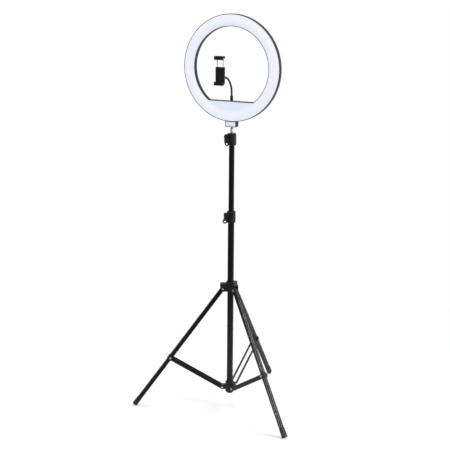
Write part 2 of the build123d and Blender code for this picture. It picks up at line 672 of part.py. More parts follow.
with BuildPart() as rear_casing:
    with BuildSketch(RING_SECTION) as casing_section:
        with BuildLine():
            Polyline(
                (HOLE_R, RIM_H),
                (HOLE_R, -CHIN),
                (HOLE_R + SLOPE, -BACK_H),
                (RING_R - SLOPE, -BACK_H),
                (RING_R, -CHIN),
                (RING_R, RIM_H),
                (OUTER_WALL_R, RIM_H),
                (OUTER_WALL_R, -CHIN),
                (OUTER_WALL_R - INSIDE_SLOPE, FLOOR_H),
                (INNER_WALL_R + INSIDE_SLOPE, FLOOR_H),
                (INNER_WALL_R, -CHIN),
                (INNER_WALL_R, RIM_H),
                close=True,
            )
        make_face()
        fillet(casing_section.vertices().group_by(Axis.Y)[0], radius=CASING_EDGE_R)
    revolve(axis=RING_AXIS, revolution_arc=360)
    with BuildSketch(RING.offset(-BACK_H)):
        add(disc_segment(HOLE_R + SLOPE + OVERCUT, -CHORD_DROP))
    extrude(amount=CASING_WALL)
    with BuildSketch(RING.offset(-BACK_H)):
        add(disc_segment(HOLE_R + CASING_WALL / 2, -CHORD_DROP))
        add(disc_segment(HOLE_R + CASING_WALL, -CHORD_DROP - CASING_WALL), mode=Mode.SUBTRACT)
    extrude(amount=BACK_H + RIM_H)
    with BuildSketch(RING.offset(RIM_H - PANEL_T)):
        add(disc_segment(INNER_WALL_R, -CHORD_DROP - CASING_WALL))
    extrude(amount=PANEL_T, mode=Mode.SUBTRACT)
    with BuildSketch(RING.offset(-BACK_H)):
        with PolarLocations(SCREW_RING_R, SCREW_COUNT, start_angle=30):
            Circle(BOSS_OUTER_R)
    extrude(amount=BACK_H + BOARD_H)
    with BuildSketch(RING.offset(-BACK_H)):
        with PolarLocations(SCREW_RING_R, SCREW_COUNT, start_angle=30):
            Circle(SCREW_R)
        with Locations(*[(x, -BUTTON_DROP) for x in BUTTON_XS]):
            Circle(BUTTON_R + RUNNING_FIT)
        with Locations((INLET_X, -BUTTON_DROP)):
            Rectangle(INLET_SIZE, INLET_SIZE)
    extrude(amount=BACK_H + BOARD_H, mode=Mode.SUBTRACT)
    with BuildSketch(RING.offset(-BACK_H)):
        with PolarLocations(SCREW_RING_R, SCREW_COUNT, start_angle=30):
            Circle(SCREW_HEAD_R)
    extrude(amount=SCREW_HEAD_H, mode=Mode.SUBTRACT)
    with BuildSketch(Plane.XY.offset(CHORD_Z - CASING_WALL)):
        with Locations(*[(x, -SOCKET_H) for x in SOCKET_XS]):
            Circle(SOCKET_R + FIXED_FIT)
    extrude(amount=CASING_WALL, mode=Mode.SUBTRACT)
rear_casing.part.label = "rear_casing"
export_step(rear_casing.part, "parts/rear_casing.step")

with BuildPart() as casing_screws:
    with BuildSketch(RING.offset(-BACK_H)):
        with PolarLocations(SCREW_RING_R, SCREW_COUNT, start_angle=30):
            Circle(SCREW_HEAD_R)
    extrude(amount=SCREW_HEAD_H)
    with BuildSketch(RING.offset(SCREW_HEAD_H - BACK_H)):
        with PolarLocations(SCREW_RING_R, SCREW_COUNT, start_angle=30):
            Circle(SCREW_R)
    extrude(amount=BACK_H + SCREW_REACH - SCREW_HEAD_H)
casing_screws.part.label = "casing_screws"
export_step(casing_screws.part, "parts/casing_screws.step")

with BuildPart() as ring_diffuser:
    with BuildSketch(RING_SECTION):
        with BuildLine():
            Line((INNER_WALL_R, RIM_H - SKIRT), (INNER_WALL_R, RIM_H))
            ThreePointArc((INNER_WALL_R, RIM_H), (SCREW_RING_R, RIM_H + DOME_H), (OUTER_WALL_R, RIM_H))
            Line((OUTER_WALL_R, RIM_H), (OUTER_WALL_R, RIM_H - SKIRT))
            Line((OUTER_WALL_R, RIM_H - SKIRT), (OUTER_WALL_R - DIFFUSER_T, RIM_H - SKIRT))
            Line((OUTER_WALL_R - DIFFUSER_T, RIM_H - SKIRT), (OUTER_WALL_R - DIFFUSER_T, RIM_H - SKIRT_STEP))
            ThreePointArc(
                (OUTER_WALL_R - DIFFUSER_T, RIM_H - SKIRT_STEP),
                (SCREW_RING_R, RIM_H + DOME_H - DIFFUSER_T),
                (INNER_WALL_R + DIFFUSER_T, RIM_H - SKIRT_STEP),
            )
            Line((INNER_WALL_R + DIFFUSER_T, RIM_H - SKIRT_STEP), (INNER_WALL_R + DIFFUSER_T, RIM_H - SKIRT))
            Line((INNER_WALL_R + DIFFUSER_T, RIM_H - SKIRT), (INNER_WALL_R, RIM_H - SKIRT))
        make_face()
    revolve(axis=RING_AXIS, revolution_arc=360)
    with BuildSketch(RING.offset(BOARD_H + BOARD_T)):
        with PolarLocations(SCREW_RING_R, SCREW_COUNT, start_angle=30):
            Circle(POST_R)
    extrude(amount=RIM_H + DOME_H - DIFFUSER_T / 2 - BOARD_H - BOARD_T)
    with BuildSketch(RING.offset(BOARD_H + BOARD_T)):
        with PolarLocations(SCREW_RING_R, SCREW_COUNT, start_angle=30):
            Circle(SCREW_R)
    extrude(amount=SCREW_REACH - BOARD_H - BOARD_T, mode=Mode.SUBTRACT)
ring_diffuser.part.label = "ring_diffuser"
export_step(ring_diffuser.part, "parts/ring_diffuser.step")

with BuildPart() as segment_panel:
    with BuildSketch(RING.offset(RIM_H - PANEL_T)):
        add(disc_segment(INNER_WALL_R, -CHORD_DROP - CASING_WALL))
    extrude(amount=PANEL_T)
segment_panel.part.label = "segment_panel"
export_step(segment_panel.part, "parts/segment_panel.step")

BOARD_EDGE = 2.5        # light board, clear of the casing's walls
with BuildPart() as led_board:
    with BuildSketch(RING.offset(BOARD_H)):
        Circle(OUTER_WALL_R - BOARD_EDGE)
        Circle(INNER_WALL_R + BOARD_EDGE, mode=Mode.SUBTRACT)
        with PolarLocations(SCREW_RING_R, SCREW_COUNT, start_angle=30):
            Circle(SCREW_R, mode=Mode.SUBTRACT)
    extrude(amount=BOARD_T)
led_board.part.label = "led_board"
export_step(led_board.part, "parts/led_board.step")

with BuildPart() as led_chips:
    with BuildSketch(RING.offset(BOARD_H + BOARD_T)):
        for row_r in CHIP_ROWS_R:
            with PolarLocations(row_r, CHIPS_PER_ROW):
                Rectangle(CHIP_SIZE, CHIP_SIZE)
    extrude(amount=CHIP_H)
led_chips.part.label = "led_chips"
export_step(led_chips.part, "parts/led_chips.step")

# ---------------------------------------------------------------- lamp head: controls and sockets

CONTROL_H = -4.0        # back of the control board
CONTROL_W = 70.0
CONTROL_TALL = 17.0
SWITCH_H = 0.4
SWITCH_SIZE = 5.0
BUTTON_EDGE_R = 0.8
BUTTON_FLANGE = 1.0
BUTTON_FLANGE_T = 1.0
BUTTON_REST = 0.1       # flange, clear of the casing's floor

with BuildPart() as control_board:
    with BuildSketch(RING.offset(CONTROL_H)):
        with Locations((0, -BUTTON_DROP)):
            Rectangle(CONTROL_W, CONTROL_TALL)
    extrude(amount=BOARD_T)
    with BuildSketch(RING.offset(CONTROL_H - SWITCH_H)):
        with Locations(*[(x, -BUTTON_DROP) for x in BUTTON_XS]):
            Rectangle(SWITCH_SIZE, SWITCH_SIZE)
    extrude(amount=SWITCH_H)
control_board.part.label = "control_board"
export_step(control_board.part, "parts/control_board.step")

for number, button_x in enumerate(BUTTON_XS, start=1):
    with BuildPart() as button:
        with BuildSketch(RING.offset(-BACK_H - BUTTON_PROUD)):
            with Locations((button_x, -BUTTON_DROP)):
                Circle(BUTTON_R)
        extrude(amount=BUTTON_PROUD + CASING_WALL + BUTTON_REST)
        fillet(button.edges().group_by(Axis.Y)[-1], radius=BUTTON_EDGE_R)
        with BuildSketch(RING.offset(FLOOR_H + BUTTON_REST)):
            with Locations((button_x, -BUTTON_DROP)):
                Circle(BUTTON_R + BUTTON_FLANGE)
        extrude(amount=BUTTON_FLANGE_T)
    button.part.label = f"button_{number}"
    export_step(button.part, f"parts/button_{number}.step")

INLET_LIP = 0.6
INLET_DEPTH = 7.5
INLET_PIN_R = 0.9
INLET_LIP_W = 1.0
INLET_LIP_R = 1.5
with BuildPart() as power_inlet:
    with BuildSketch(RING.offset(-BACK_H - INLET_LIP)):
        with Locations((INLET_X, -BUTTON_DROP)):
            RectangleRounded(INLET_SIZE + 2 * INLET_LIP_W, INLET_SIZE + 2 * INLET_LIP_W, INLET_LIP_R)
    extrude(amount=INLET_LIP)
    with BuildSketch(RING.offset(-BACK_H)):
        with Locations((INLET_X, -BUTTON_DROP)):
            Rectangle(INLET_SIZE, INLET_SIZE)
    extrude(amount=INLET_DEPTH)
    with BuildSketch(RING.offset(-BACK_H - INLET_LIP)):
        with Locations((INLET_X, -BUTTON_DROP)):
            Circle(INLET_BORE_R)
            Circle(INLET_PIN_R, mode=Mode.SUBTRACT)
    extrude(amount=INLET_DEPTH, mode=Mode.SUBTRACT)
power_inlet.part.label = "power_inlet"
export_step(power_inlet.part, "parts/power_inlet.step")

FLANGE_RISE = 1.2
for socket_name, socket_x in zip(("left", "middle", "right"), SOCKET_XS):
    with BuildPart() as socket:
        with BuildSketch(Plane.XY.offset(CHORD_Z)):
            with Locations((socket_x, -SOCKET_H)):
                Circle(SOCKET_FLANGE_R)
        extrude(amount=FLANGE_RISE)
        with BuildSketch(Plane.XY.offset(CHORD_Z)):
            with Locations((socket_x, -SOCKET_H)):
                Circle(SOCKET_R)
        extrude(amount=-SOCKET_DEPTH - CASING_WALL)
        with BuildSketch(Plane.XY.offset(CHORD_Z + FLANGE_RISE)):
            with Locations((socket_x, -SOCKET_H)):
                Circle(SOCKET_BORE_R)
        extrude(amount=-SOCKET_DEPTH, mode=Mode.SUBTRACT)
    socket.part.label = f"socket_{socket_name}"
    export_step(socket.part, f"parts/socket_{socket_name}.step")

# ---------------------------------------------------------------- base block and ball joint

BLOCK_TOP_Z = 1020.0
block_middle_z = (BLOCK_TOP_Z + BLOCK_BOTTOM_Z) / 2 - RING_Z
BALL = Vector(0, 0, BALL_Z)
LIP_DROP = 1.6          # narrowest ring of the seat, below the ball's centre
LIP_R = 4.82
FLARE_R = 5.5

with BuildPart() as base_block:
    with BuildSketch(RING.offset(-BLOCK_BACK_H)):
        with Locations((0, block_middle_z)):
            RectangleRounded(BLOCK_W, BLOCK_TOP_Z - BLOCK_BOTTOM_Z, BLOCK_CORNER_R)
        Circle(RING_R, mode=Mode.SUBTRACT)
    extrude(amount=BLOCK_BACK_H + RIM_H)
    with BuildSketch(RING.offset(RIM_H - FRONT_PLATE_T)):
        with Locations((0, block_middle_z + BLOCK_EDGE)):
            Rectangle(BLOCK_W - 2 * BLOCK_EDGE, BLOCK_TOP_Z - BLOCK_BOTTOM_Z)
        Circle(RING_R + BLOCK_EDGE / 2, mode=Mode.SUBTRACT)
    extrude(amount=FRONT_PLATE_T, mode=Mode.SUBTRACT)
    with BuildSketch(Plane.XY.offset(BLOCK_BOTTOM_Z)):
        Circle(SEAT_R)
    extrude(amount=SEAT_TOP_Z - BLOCK_BOTTOM_Z, mode=Mode.SUBTRACT)
base_block.part.label = "base_block"
export_step(base_block.part, "parts/base_block.step")

with BuildPart() as block_front:
    with BuildSketch(RING.offset(RIM_H - FRONT_PLATE_T)):
        with Locations((0, block_middle_z)):
            Rectangle(BLOCK_W - 2 * BLOCK_EDGE, BLOCK_TOP_Z - BLOCK_BOTTOM_Z - 2 * BLOCK_EDGE)
        Circle(RING_R + BLOCK_EDGE / 2, mode=Mode.SUBTRACT)
    extrude(amount=FRONT_PLATE_T)
block_front.part.label = "block_front"
export_step(block_front.part, "parts/block_front.step")

with BuildPart() as ball_seat:
    with BuildSketch(Plane.XY.offset(BALL_Z)):
        Circle(SEAT_R)
    extrude(amount=SEAT_TOP_Z - BALL_Z)
    with Locations(BALL):
        Sphere(BALL_R + RUNNING_FIT, mode=Mode.SUBTRACT)
ball_seat.part.label = "ball_seat"
export_step(ball_seat.part, "parts/ball_seat.step")

with BuildPart() as ball_retainer:
    with BuildSketch(Plane.XY.offset(BLOCK_BOTTOM_Z)):
        Circle(SEAT_R)
    extrude(amount=BALL_Z - BLOCK_BOTTOM_Z)
    with Locations(BALL):
        Sphere(BALL_R + RUNNING_FIT, mode=Mode.SUBTRACT)
    with BuildSketch(Plane.XZ):
        with BuildLine():
            Polyline(
                (0, BALL_Z - LIP_DROP),
                (LIP_R, BALL_Z - LIP_DROP),
                (FLARE_R, BLOCK_BOTTOM_Z),
                (0, BLOCK_BOTTOM_Z),
                close=True,
            )
        make_face()
    revolve(axis=Axis.Z, revolution_arc=360, mode=Mode.SUBTRACT)
ball_retainer.part.label = "ball_retainer"
export_step(ball_retainer.part, "parts/ball_retainer.step")

NECK_FOOT_Z = 998.5
SHOULDER_Z = 994.5
STUD_BORE_SPARE = 0.4   # over the thread's end
with BuildPart() as ball_stud:
    with BuildSketch(Plane.XZ):
        with BuildLine():
            Polyline(
                (0, STUD_BOTTOM_Z),
                (STUD_R, STUD_BOTTOM_Z),
                (STUD_R, SHOULDER_Z),
                (STUD_NECK_R, NECK_FOOT_Z),
                (STUD_NECK_R, BALL_Z),
                (0, BALL_Z),
                close=True,
            )
        make_face()
    revolve(axis=Axis.Z, revolution_arc=360)
    with Locations(BALL):
        Sphere(BALL_R)
    with BuildSketch(Plane.XY.offset(STUD_BOTTOM_Z)):
        Circle(THREAD_R + RUNNING_FIT)
    extrude(amount=THREAD_H + STUD_BORE_SPARE, mode=Mode.SUBTRACT)
ball_stud.part.label = "ball_stud"
export_step(ball_stud.part, "parts/ball_stud.step")

# ---------------------------------------------------------------- gooseneck

FERRULE_GAP = 0.1       # over the socket, which the gooseneck turns on
FERRULE_FOOT_Z = CHORD_Z + FLANGE_RISE + FERRULE_GAP
FERRULE_CHAMFER = 0.8
NECK_THREAD_SPARE = 1.5  # socket left free beyond the gooseneck's thread
KNUCKLE_DROP = 2.2      # upper half, beyond the knuckle's centre
KNUCKLE_SHARE = 45.0    # degrees of the bend below the knuckle


def neck_section(turn):
    """The plane across the gooseneck's bend, this many degrees up from its foot."""
    outward = Vector(0, math.cos(math.radians(turn)), math.sin(math.radians(turn)))
    along = Vector(0, -math.sin(math.radians(turn)), math.cos(math.radians(turn)))
    start = Vector(0, NECK_END_Y, NECK_BEND_Z) + outward * NECK_BEND_R
    return Plane(origin=start, x_dir=(1, 0, 0), z_dir=along)


def facing(y, z):
    """The upright plane that faces the front, at this depth and height."""
    return Plane(origin=(0, y, z), x_dir=(1, 0, 0), z_dir=(0, -1, 0))


NECK_BEND_AXIS = Axis((0, NECK_END_Y, NECK_BEND_Z), (1, 0, 0))

with BuildPart() as neck_ferrule:
    with BuildSketch(Plane.XY.offset(FERRULE_FOOT_Z)):
        with Locations((0, NECK_Y)):
            Circle(FERRULE_R)
    extrude(amount=FERRULE_TOP_Z - FERRULE_FOOT_Z)
    chamfer(neck_ferrule.edges().group_by(Axis.Z)[-1], length=FERRULE_CHAMFER)
    with BuildSketch(Plane.XY.offset(FERRULE_FOOT_Z)):
        with Locations((0, NECK_Y)):
            Circle(SOCKET_BORE_R - RUNNING_FIT)
    extrude(amount=-SOCKET_DEPTH + NECK_THREAD_SPARE)
neck_ferrule.part.label = "neck_ferrule"
export_step(neck_ferrule.part, "parts/neck_ferrule.step")

with BuildPart() as neck_lower:
    with BuildSketch(Plane.XY.offset(FERRULE_TOP_Z)):
        with Locations((0, NECK_Y)):
            Circle(NECK_R)
    extrude(amount=NECK_BEND_Z - FERRULE_TOP_Z)
    with BuildSketch(neck_section(0)):
        Circle(NECK_R)
    revolve(axis=NECK_BEND_AXIS, revolution_arc=KNUCKLE_SHARE)
    with Locations(KNUCKLE):
        Sphere(NECK_R)
neck_lower.part.label = "neck_lower"
export_step(neck_lower.part, "parts/neck_lower.step")

upper_start = KNUCKLE_SHARE + math.degrees(KNUCKLE_DROP / NECK_BEND_R)
with BuildPart() as neck_upper:
    with BuildSketch(neck_section(upper_start)):
        Circle(NECK_R)
    revolve(axis=NECK_BEND_AXIS, revolution_arc=90 - upper_start)
    with BuildSketch(facing(NECK_END_Y, NECK_END_Z)):
        Circle(NECK_R)
    extrude(amount=NECK_RUN)
    with Locations(KNUCKLE):
        Sphere(NECK_R + KNUCKLE_GAP, mode=Mode.SUBTRACT)
neck_upper.part.label = "neck_upper"
export_step(neck_upper.part, "parts/neck_upper.step")

NECK_CAP_H = 1.0
with BuildPart() as neck_ball:
    with BuildSketch(facing(NECK_TIP_Y, NECK_END_Z)):
        Circle(NECK_R)
    extrude(amount=NECK_CAP_H)
    with BuildSketch(facing(NECK_TIP_Y, NECK_END_Z)):
        Circle(NECK_STEM_R)
    extrude(amount=NECK_BALL_DROP)
    with Locations(NECK_BALL):
        Sphere(NECK_BALL_R)
neck_ball.part.label = "neck_ball"
export_step(neck_ball.part, "parts/neck_ball.step")

# ---------------------------------------------------------------- phone clamp

cup_rim_y = NECK_BALL.Y + CUP_BACK
CUP_FOOT_GAP = 0.2
SPINDLE_REACH = 4.5
NUT_H = 7.5
NUT_NOTCHES = 14
NOTCH_R = 0.9
SPINDLE_SPARE = 0.2     # hole beyond the spindle's end
with BuildPart() as clamp_cup:
    with BuildSketch(facing(cup_rim_y, NECK_END_Z)):
        Circle(CUP_R)
    extrude(amount=cup_rim_y - CLAMP_BACK_Y - CUP_FOOT_GAP)
    with BuildSketch(facing(CLAMP_BACK_Y + CUP_FOOT_GAP, NECK_END_Z)):
        Circle(SPINDLE_R)
    extrude(amount=CUP_FOOT_GAP + SPINDLE_REACH)
    with Locations(NECK_BALL):
        Sphere(NECK_BALL_R + RUNNING_FIT, mode=Mode.SUBTRACT)
clamp_cup.part.label = "clamp_cup"
export_step(clamp_cup.part, "parts/clamp_cup.step")

with BuildPart() as cup_nut:
    with BuildSketch(facing(cup_rim_y, NECK_END_Z)):
        Circle(NUT_R)
        Circle(CUP_R, mode=Mode.SUBTRACT)
        with PolarLocations(NUT_R, NUT_NOTCHES):
            Circle(NOTCH_R, mode=Mode.SUBTRACT)
    extrude(amount=NUT_H)
cup_nut.part.label = "cup_nut"
export_step(cup_nut.part, "parts/cup_nut.step")

jaw_front_y = CLAMP_FACE_Y - JAW_REACH
jaw_lip_y = jaw_front_y + JAW_LIP_T
HEEL = 8.0              # slope under the back of the lower jaw
BODY_TOP_R = 3.0
JAW_TOP_R = 1.5
ROD_SKIN = 2.0          # jaw left over the rods' ends

with BuildPart() as clamp_body:
    with BuildSketch(Plane.YZ):
        with BuildLine():
            Polyline(
                (CLAMP_BACK_Y, LOWER_JAW_Z + HEEL),
                (CLAMP_BACK_Y - HEEL, LOWER_JAW_Z),
                (jaw_front_y, LOWER_JAW_Z),
                (jaw_front_y, LOWER_PAD_TOP_Z + LIP_RISE),
                (jaw_lip_y, LOWER_PAD_TOP_Z + LIP_RISE),
                (jaw_lip_y, LOWER_JAW_Z + JAW_T),
                (CLAMP_FACE_Y, LOWER_JAW_Z + JAW_T),
                (CLAMP_FACE_Y, CLAMP_BODY_TOP_Z),
                (CLAMP_BACK_Y, CLAMP_BODY_TOP_Z),
                close=True,
            )
        make_face()
    extrude(amount=CLAMP_W / 2, both=True)
    fillet(clamp_body.edges().filter_by(Axis.Y).group_by(Axis.Z)[-1], radius=BODY_TOP_R)
    with BuildSketch(Plane.XY.offset(ROD_BOTTOM_Z - JAW_DOWN - OVERCUT)):
        with Locations((-ROD_X, ROD_Y), (ROD_X, ROD_Y)):
            Circle(ROD_R + RUNNING_FIT)
    extrude(amount=CLAMP_BODY_TOP_Z - LOWER_JAW_Z, mode=Mode.SUBTRACT)
    with BuildSketch(facing(CLAMP_BACK_Y, NECK_END_Z)):
        Circle(SPINDLE_R + RUNNING_FIT)
    extrude(amount=SPINDLE_REACH + SPINDLE_SPARE, mode=Mode.SUBTRACT)
clamp_body.part.label = "clamp_body"
export_step(clamp_body.part, "parts/clamp_body.step")

with BuildPart() as clamp_jaw:
    with BuildSketch(Plane.YZ):
        with BuildLine():
            Polyline(
                (CLAMP_BACK_Y, UPPER_JAW_TOP_Z),
                (jaw_front_y, UPPER_JAW_TOP_Z),
                (jaw_front_y, UPPER_PAD_BOTTOM_Z - LIP_RISE),
                (jaw_lip_y, UPPER_PAD_BOTTOM_Z - LIP_RISE),
                (jaw_lip_y, UPPER_JAW_TOP_Z - JAW_T),
                (CLAMP_BACK_Y, UPPER_JAW_TOP_Z - JAW_T),
                close=True,
            )
        make_face()
    extrude(amount=CLAMP_W / 2, both=True)
    fillet(clamp_jaw.edges().filter_by(Axis.Y).group_by(Axis.Z)[-1], radius=JAW_TOP_R)
    with BuildSketch(Plane.XY.offset(UPPER_JAW_TOP_Z - JAW_T)):
        with Locations((-ROD_X, ROD_Y), (ROD_X, ROD_Y)):
            Circle(ROD_R)
    extrude(amount=JAW_T - ROD_SKIN, mode=Mode.SUBTRACT)
clamp_jaw.part.label = "clamp_jaw"
export_step(clamp_jaw.part, "parts/clamp_jaw.step")

with BuildPart() as jaw_rods:
    with BuildSketch(Plane.XY.offset(ROD_BOTTOM_Z)):
        with Locations((-ROD_X, ROD_Y), (ROD_X, ROD_Y)):
            Circle(ROD_R)
    extrude(amount=UPPER_JAW_TOP_Z - ROD_SKIN - ROD_BOTTOM_Z)
jaw_rods.part.label = "jaw_rods"
export_step(jaw_rods.part, "parts/jaw_rods.step")

PAD_W = 29.0
RIB_PITCH = 3.0
RIB_COUNT = 9
pad_middle_y = (jaw_lip_y + CLAMP_FACE_Y) / 2
for pad_name, pad_foot_z, pad_rise in (
    ("lower", LOWER_JAW_Z + JAW_T, PAD_T),
    ("upper", UPPER_JAW_TOP_Z - JAW_T, -PAD_T),
):
    with BuildPart() as jaw_pad:
        with BuildSketch(Plane.XY.offset(pad_foot_z)):
            with Locations((0, pad_middle_y)):
                Rectangle(PAD_W, CLAMP_FACE_Y - jaw_lip_y)
        extrude(amount=pad_rise)
        with BuildSketch(Plane.XY.offset(pad_foot_z + pad_rise)):
            with Locations((0, pad_middle_y)):
                with GridLocations(RIB_PITCH, 0, RIB_COUNT, 1):
                    Rectangle(RIB_PITCH / 2, CLAMP_FACE_Y - jaw_lip_y)
        extrude(amount=-pad_rise / 2, mode=Mode.SUBTRACT)
    jaw_pad.part.label = f"{pad_name}_pad"
    export_step(jaw_pad.part, f"parts/{pad_name}_pad.step")
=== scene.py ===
import json
import math

import bmesh
import bpy
from mathutils import Matrix, Vector


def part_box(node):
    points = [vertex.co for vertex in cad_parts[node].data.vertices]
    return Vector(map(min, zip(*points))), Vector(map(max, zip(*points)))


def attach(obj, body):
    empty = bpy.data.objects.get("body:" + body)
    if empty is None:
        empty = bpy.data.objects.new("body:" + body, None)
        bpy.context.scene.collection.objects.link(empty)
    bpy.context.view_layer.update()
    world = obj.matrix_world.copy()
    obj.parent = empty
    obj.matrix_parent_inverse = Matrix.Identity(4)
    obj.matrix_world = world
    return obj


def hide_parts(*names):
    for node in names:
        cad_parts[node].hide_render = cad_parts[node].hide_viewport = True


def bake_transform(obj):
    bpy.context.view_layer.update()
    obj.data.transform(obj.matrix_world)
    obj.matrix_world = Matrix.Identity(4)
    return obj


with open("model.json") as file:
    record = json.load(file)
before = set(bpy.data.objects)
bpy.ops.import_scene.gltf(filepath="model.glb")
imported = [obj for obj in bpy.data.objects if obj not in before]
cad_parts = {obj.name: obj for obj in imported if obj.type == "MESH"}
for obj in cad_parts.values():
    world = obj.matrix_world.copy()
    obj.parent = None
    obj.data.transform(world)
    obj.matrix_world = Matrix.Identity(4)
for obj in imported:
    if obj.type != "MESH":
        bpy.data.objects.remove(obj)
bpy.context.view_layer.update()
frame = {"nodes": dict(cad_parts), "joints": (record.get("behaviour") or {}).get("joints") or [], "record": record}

# A ring light on a folding stand, in metres, in the CAD frame: +Z up, the lamp faces -Y.

nodes = frame["nodes"]
joints = {joint["name"]: joint for joint in frame["joints"]}

# ---------------------------------------------------------------- camera, light and floor

CAMERA_HEADING = 27.0       # degrees round the object, from straight in front towards +X
CAMERA_DISTANCE = 3.522
CAMERA_HEIGHT = 1.515
CAMERA_PITCH = -13.65
CAMERA_YAW = -0.34
CAMERA_ROLL = 0.42
LENS = 84.3


def make_camera():
    """The camera, to the right of the object's front, above the lamp and looking a little down."""
    data = bpy.data.cameras.new("camera")
    data.sensor_width = 36.0
    data.lens = LENS
    data.clip_end = 200.0
    camera = bpy.data.objects.new("camera", data)
    bpy.context.scene.collection.objects.link(camera)
    heading = math.radians(CAMERA_HEADING)
    place = Matrix.Translation(
        (CAMERA_DISTANCE * math.sin(heading), -CAMERA_DISTANCE * math.cos(heading), CAMERA_HEIGHT)
    )
    turn = Matrix.Rotation(math.radians(CAMERA_HEADING - CAMERA_YAW), 4, "Z")
    pitch = Matrix.Rotation(math.radians(90 + CAMERA_PITCH), 4, "X")
    roll = Matrix.Rotation(math.radians(CAMERA_ROLL), 4, "Z")
    camera.matrix_world = place @ turn @ pitch @ roll
    bpy.context.scene.camera = camera


def make_light(name, place, target, size, power):
    """A soft square light that points at its target."""
    data = bpy.data.lights.new(name, "AREA")
    data.shape = "SQUARE"
    data.size = size
    data.energy = power
    light = bpy.data.objects.new(name, data)
    bpy.context.scene.collection.objects.link(light)
    aim = Vector(target) - Vector(place)
    light.matrix_world = Matrix.Translation(place) @ aim.to_track_quat("-Z", "Y").to_matrix().to_4x4()


BACKDROP = 1.0              # how bright the surroundings look
SURROUND_BEHIND = 0.95      # how much light they give from behind the object
SURROUND_AHEAD = 0.16       # and from in front of it
AHEAD_ENDS = -0.2           # the two blend between these values of a direction's y
BEHIND_STARTS = 0.75
FLOOR_REACH = 4.0
FLOOR_CLEAR = 0.55          # out to here the floor is solid, and beyond it fades into the surroundings
FLOOR_FADED = 1.25
FLOOR_GLOW = 0.27
FLOOR_GREY = 0.75


def make_world():
    """A white backdrop in a darker room: black paint stays black and is lit along its edges."""
    world = bpy.data.worlds.new("studio")
    world.use_nodes = True
    tree = world.node_tree
    background = tree.nodes["Background"]
    background.inputs["Color"].default_value = (1.0, 1.0, 1.0, 1.0)
    place = tree.nodes.new("ShaderNodeTexCoord")
    behind = tree.nodes.new("ShaderNodeVectorMath")
    behind.operation = "DOT_PRODUCT"
    behind.inputs[1].default_value = (0.0, 1.0, 0.0)
    given = tree.nodes.new("ShaderNodeMapRange")
    given.interpolation_type = "SMOOTHSTEP"
    given.inputs["From Min"].default_value = AHEAD_ENDS
    given.inputs["From Max"].default_value = BEHIND_STARTS
    given.inputs["To Min"].default_value = SURROUND_AHEAD
    given.inputs["To Max"].default_value = SURROUND_BEHIND
    path = tree.nodes.new("ShaderNodeLightPath")
    strength = tree.nodes.new("ShaderNodeMix")
    strength.inputs[3].default_value = BACKDROP
    tree.links.new(place.outputs["Generated"], behind.inputs[0])
    tree.links.new(behind.outputs["Value"], given.inputs["Value"])
    tree.links.new(path.outputs["Is Camera Ray"], strength.inputs[0])
    tree.links.new(given.outputs["Result"], strength.inputs[2])
    tree.links.new(strength.outputs[0], background.inputs["Strength"])
    bpy.context.scene.world = world


def make_floor():
    """A round pale floor that fades out where the surroundings take over."""
    mesh = bpy.data.meshes.new("floor")
    corners = [(-1, -1), (1, -1), (1, 1), (-1, 1)]
    mesh.from_pydata([(x * FLOOR_REACH, y * FLOOR_REACH, 0.0) for x, y in corners], [], [(0, 1, 2, 3)])
    floor = bpy.data.objects.new("floor", mesh)
    bpy.context.scene.collection.objects.link(floor)
    material, shader = new_material("floor_white", (FLOOR_GREY, FLOOR_GREY, FLOOR_GREY), 0.8)
    shader.inputs["Specular IOR Level"].default_value = 0.2
    shader.inputs["Emission Color"].default_value = (1.0, 1.0, 1.0, 1.0)
    shader.inputs["Emission Strength"].default_value = FLOOR_GLOW
    tree = material.node_tree
    place = tree.nodes.new("ShaderNodeTexCoord")
    distance = tree.nodes.new("ShaderNodeVectorMath")
    distance.operation = "LENGTH"
    link(material, place.outputs["Object"], distance.inputs[0])
    fade = tree.nodes.new("ShaderNodeMapRange")
    fade.interpolation_type = "SMOOTHSTEP"
    fade.inputs["From Min"].default_value = FLOOR_CLEAR
    fade.inputs["From Max"].default_value = FLOOR_FADED
    fade.inputs["To Min"].default_value = 1.0
    fade.inputs["To Max"].default_value = 0.0
    link(material, distance.outputs["Value"], fade.inputs["Value"])
    link(material, fade.outputs["Result"], shader.inputs["Alpha"])
    mesh.materials.append(material)


def make_studio():
    """White surroundings, soft lights above, at the sides and in front, and a pale floor."""
    bpy.context.scene.view_settings.view_transform = "Standard"
    make_world()
    make_light("key", (2.7, 0.5, 2.5), (0.0, 0.0, 0.3), 1.6, 44.0)
    make_light("left", (-2.8, -0.6, 2.6), (0.0, 0.0, 0.6), 1.6, 16.0)
    make_light("rim", (3.0, 0.5, 1.2), (0.0, 0.0, 0.7), 0.5, 30.0)
    make_light("front", (-0.25, -3.2, 1.85), (0.2, -0.15, 0.3), 0.7, 26.0)
    make_light("top", (0.0, 0.3, 4.6), (0.0, 0.0, 0.0), 2.6, 70.0)
    make_floor()


# ---------------------------------------------------------------- materials

def new_material(name, colour, roughness, metallic=0.0):
    """A material with its principled shader."""
    material = bpy.data.materials.new(name)
    material.use_nodes = True
    shader = material.node_tree.nodes["Principled BSDF"]
    shader.inputs["Base Color"].default_value = (*colour, 1.0)
    shader.inputs["Roughness"].default_value = roughness
    shader.inputs["Metallic"].default_value = metallic
    return material, shader


def link(material, out_socket, in_socket):
    material.node_tree.links.new(out_socket, in_socket)


